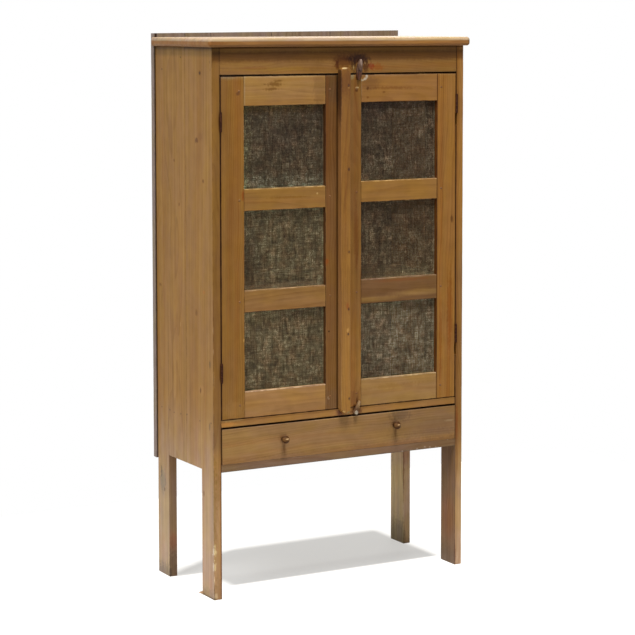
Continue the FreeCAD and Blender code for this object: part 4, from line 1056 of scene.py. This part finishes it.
for side in ("left", "right"):
    bead_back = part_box(f"{side}_door_screen_beads")[1].y
    brads = []
    for level in ("lower", "middle", "upper"):
        low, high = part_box(f"{side}_door_{level}_screen")
        size = high - low
        brads += [((x, bead_back, low.z + size.z * part), BEHIND)
                  for x in (low.x + 0.005, high.x - 0.005) for part in (0.12, 0.5, 0.88)]
        brads += [((low.x + size.x * part, bead_back, z), BEHIND)
                  for z in (low.z + 0.005, high.z - 0.005) for part in (0.15, 0.5, 0.85)]
    drive_in(nail_heads, brads, f"{side}_door_brads", f"{side}_door", nail_iron,
             length=0.0016, width=0.0014, proud=0.0003)
drive_in(nail_heads, [((x, STRIP_FRONT, z), AHEAD) for x, z in strip_nails], "meeting_strip_nails",
         "right_door", nail_iron, length=0.0046, width=0.0034, proud=0.0003)

# -------------------------------------------
# Studio: a pale paper floor, one big soft light high in front and a broad one high on the left,
# with a weak one behind so that the back can be seen too. The floor's shadow is partly painted,
# by a mask that turns down the floor's glow round the cupboard.
# -------------------------------------------

SENSOR_WIDTH = 36.0
PICTURE_WIDTH = 635
FOCAL_PIXELS = 2114.85
HORIZON_SHIFT = 317.5 - 191.6
scene = bpy.context.scene
camera_data = bpy.data.cameras.new("camera")
camera = bpy.data.objects.new("camera", camera_data)
scene.collection.objects.link(camera)
camera_data.sensor_width = SENSOR_WIDTH
camera_data.lens = FOCAL_PIXELS / PICTURE_WIDTH * SENSOR_WIDTH
camera_data.shift_y = -HORIZON_SHIFT / PICTURE_WIDTH
camera.location = (-3.1438, -5.6559, 1.6979)
yaw, pitch, roll = math.radians(29.245), math.radians(-4.625), math.radians(0.056)
camera.rotation_euler = (math.pi / 2 + pitch, roll, -yaw)
scene.camera = camera
scene.view_settings.view_transform = "Standard"


def seen_rays(tree):
    """1 for rays that look at the backdrop, straight, mirrored or through something."""
    path = tree.nodes.new("ShaderNodeLightPath").outputs
    straight, mirrored, through = (Worked(path[f"Is {ray} Ray"])
                                   for ray in ("Camera", "Glossy", "Transmission"))
    return straight.reckon("MAXIMUM", mirrored.reckon("MAXIMUM", through))


AMBIENT = 0.3
world = bpy.data.worlds.new("studio")
scene.world = world
world.use_nodes = True
feed(world.node_tree.nodes["Background"],
     {"Strength": seen_rays(world.node_tree) * (1.0 - AMBIENT) + AMBIENT, "Color": (1.0, 1.0, 1.0, 1.0)})

for name, lamp_place, size, power in (("key", (-0.7, -3.25, 8.1), 2.2, 700),
                                      ("left_fill", (-4.5, -1.5, 5.5), 2.5, 250),
                                      ("rear_fill", (3.5, 4.5, 4.5), 2.0, 90)):
    lamp = bpy.data.lights.new(name, "AREA")
    lamp.shape = "SQUARE"
    lamp.size, lamp.energy = size, power
    light = bpy.data.objects.new(name, lamp)
    scene.collection.objects.link(light)
    light.location = lamp_place
    aim = Vector((0.0, 0.0, 0.8)) - Vector(lamp_place)
    light.rotation_euler = aim.to_track_quat("-Z", "Y").to_euler()

PAPER_SIDE = 1.8
PAPER_FRONT, PAPER_BACK = -1.5, 1.1
paper_mesh = bpy.data.meshes.new("paper")
paper_mesh.from_pydata([(-PAPER_SIDE, PAPER_FRONT, 0.0), (PAPER_SIDE, PAPER_FRONT, 0.0),
                        (PAPER_SIDE, PAPER_BACK, 0.0), (-PAPER_SIDE, PAPER_BACK, 0.0)],
                       [], [(0, 1, 2, 3)])
paper = bpy.data.objects.new("paper_floor", paper_mesh)
scene.collection.objects.link(paper)
paper_white, shader, point = start_material("paper_white")
paper_mesh.materials.append(paper_white)
seen = work_out(point.tree, "ShaderNodeLightPath", out="Is Camera Ray")
across, deep, _ = split_ways(point)
# Painted shadow: inside a mask round the cupboard the floor's glow is turned down, more towards the
# front, so the shadow keeps the mask's edges at the back and sides and stays even.
heel = rise(deep, 0.1, 0.12) * fade(deep, 0.2, 0.24) * rise(across, -0.43, -0.4)
shaded = heel.reckon("MAXIMUM", rise(across, -0.335, -0.29))
for way, full, gone in ((across * -0.62 + deep, 0.375, 0.435), (deep, 0.295, 0.35),
                        (across, 0.4, 0.44), (deep, -0.055, -0.08)):
    shaded = shaded * fade(way, full, gone)
beyond = shaded * rise(deep, -0.08, 0.07, 0.62, 0.47) * -1.0 + 1.0
feed(shader, {"Base Color": lay_over(seen, (0.8, 0.8, 0.79, 1.0), (0.25, 0.25, 0.247, 1.0)),
              "Roughness": 0.9, "Specular IOR Level": 0.0,
              "Emission Color": (1.0, 0.985, 0.95, 1.0),
              "Emission Strength": seen_rays(point.tree) * beyond})
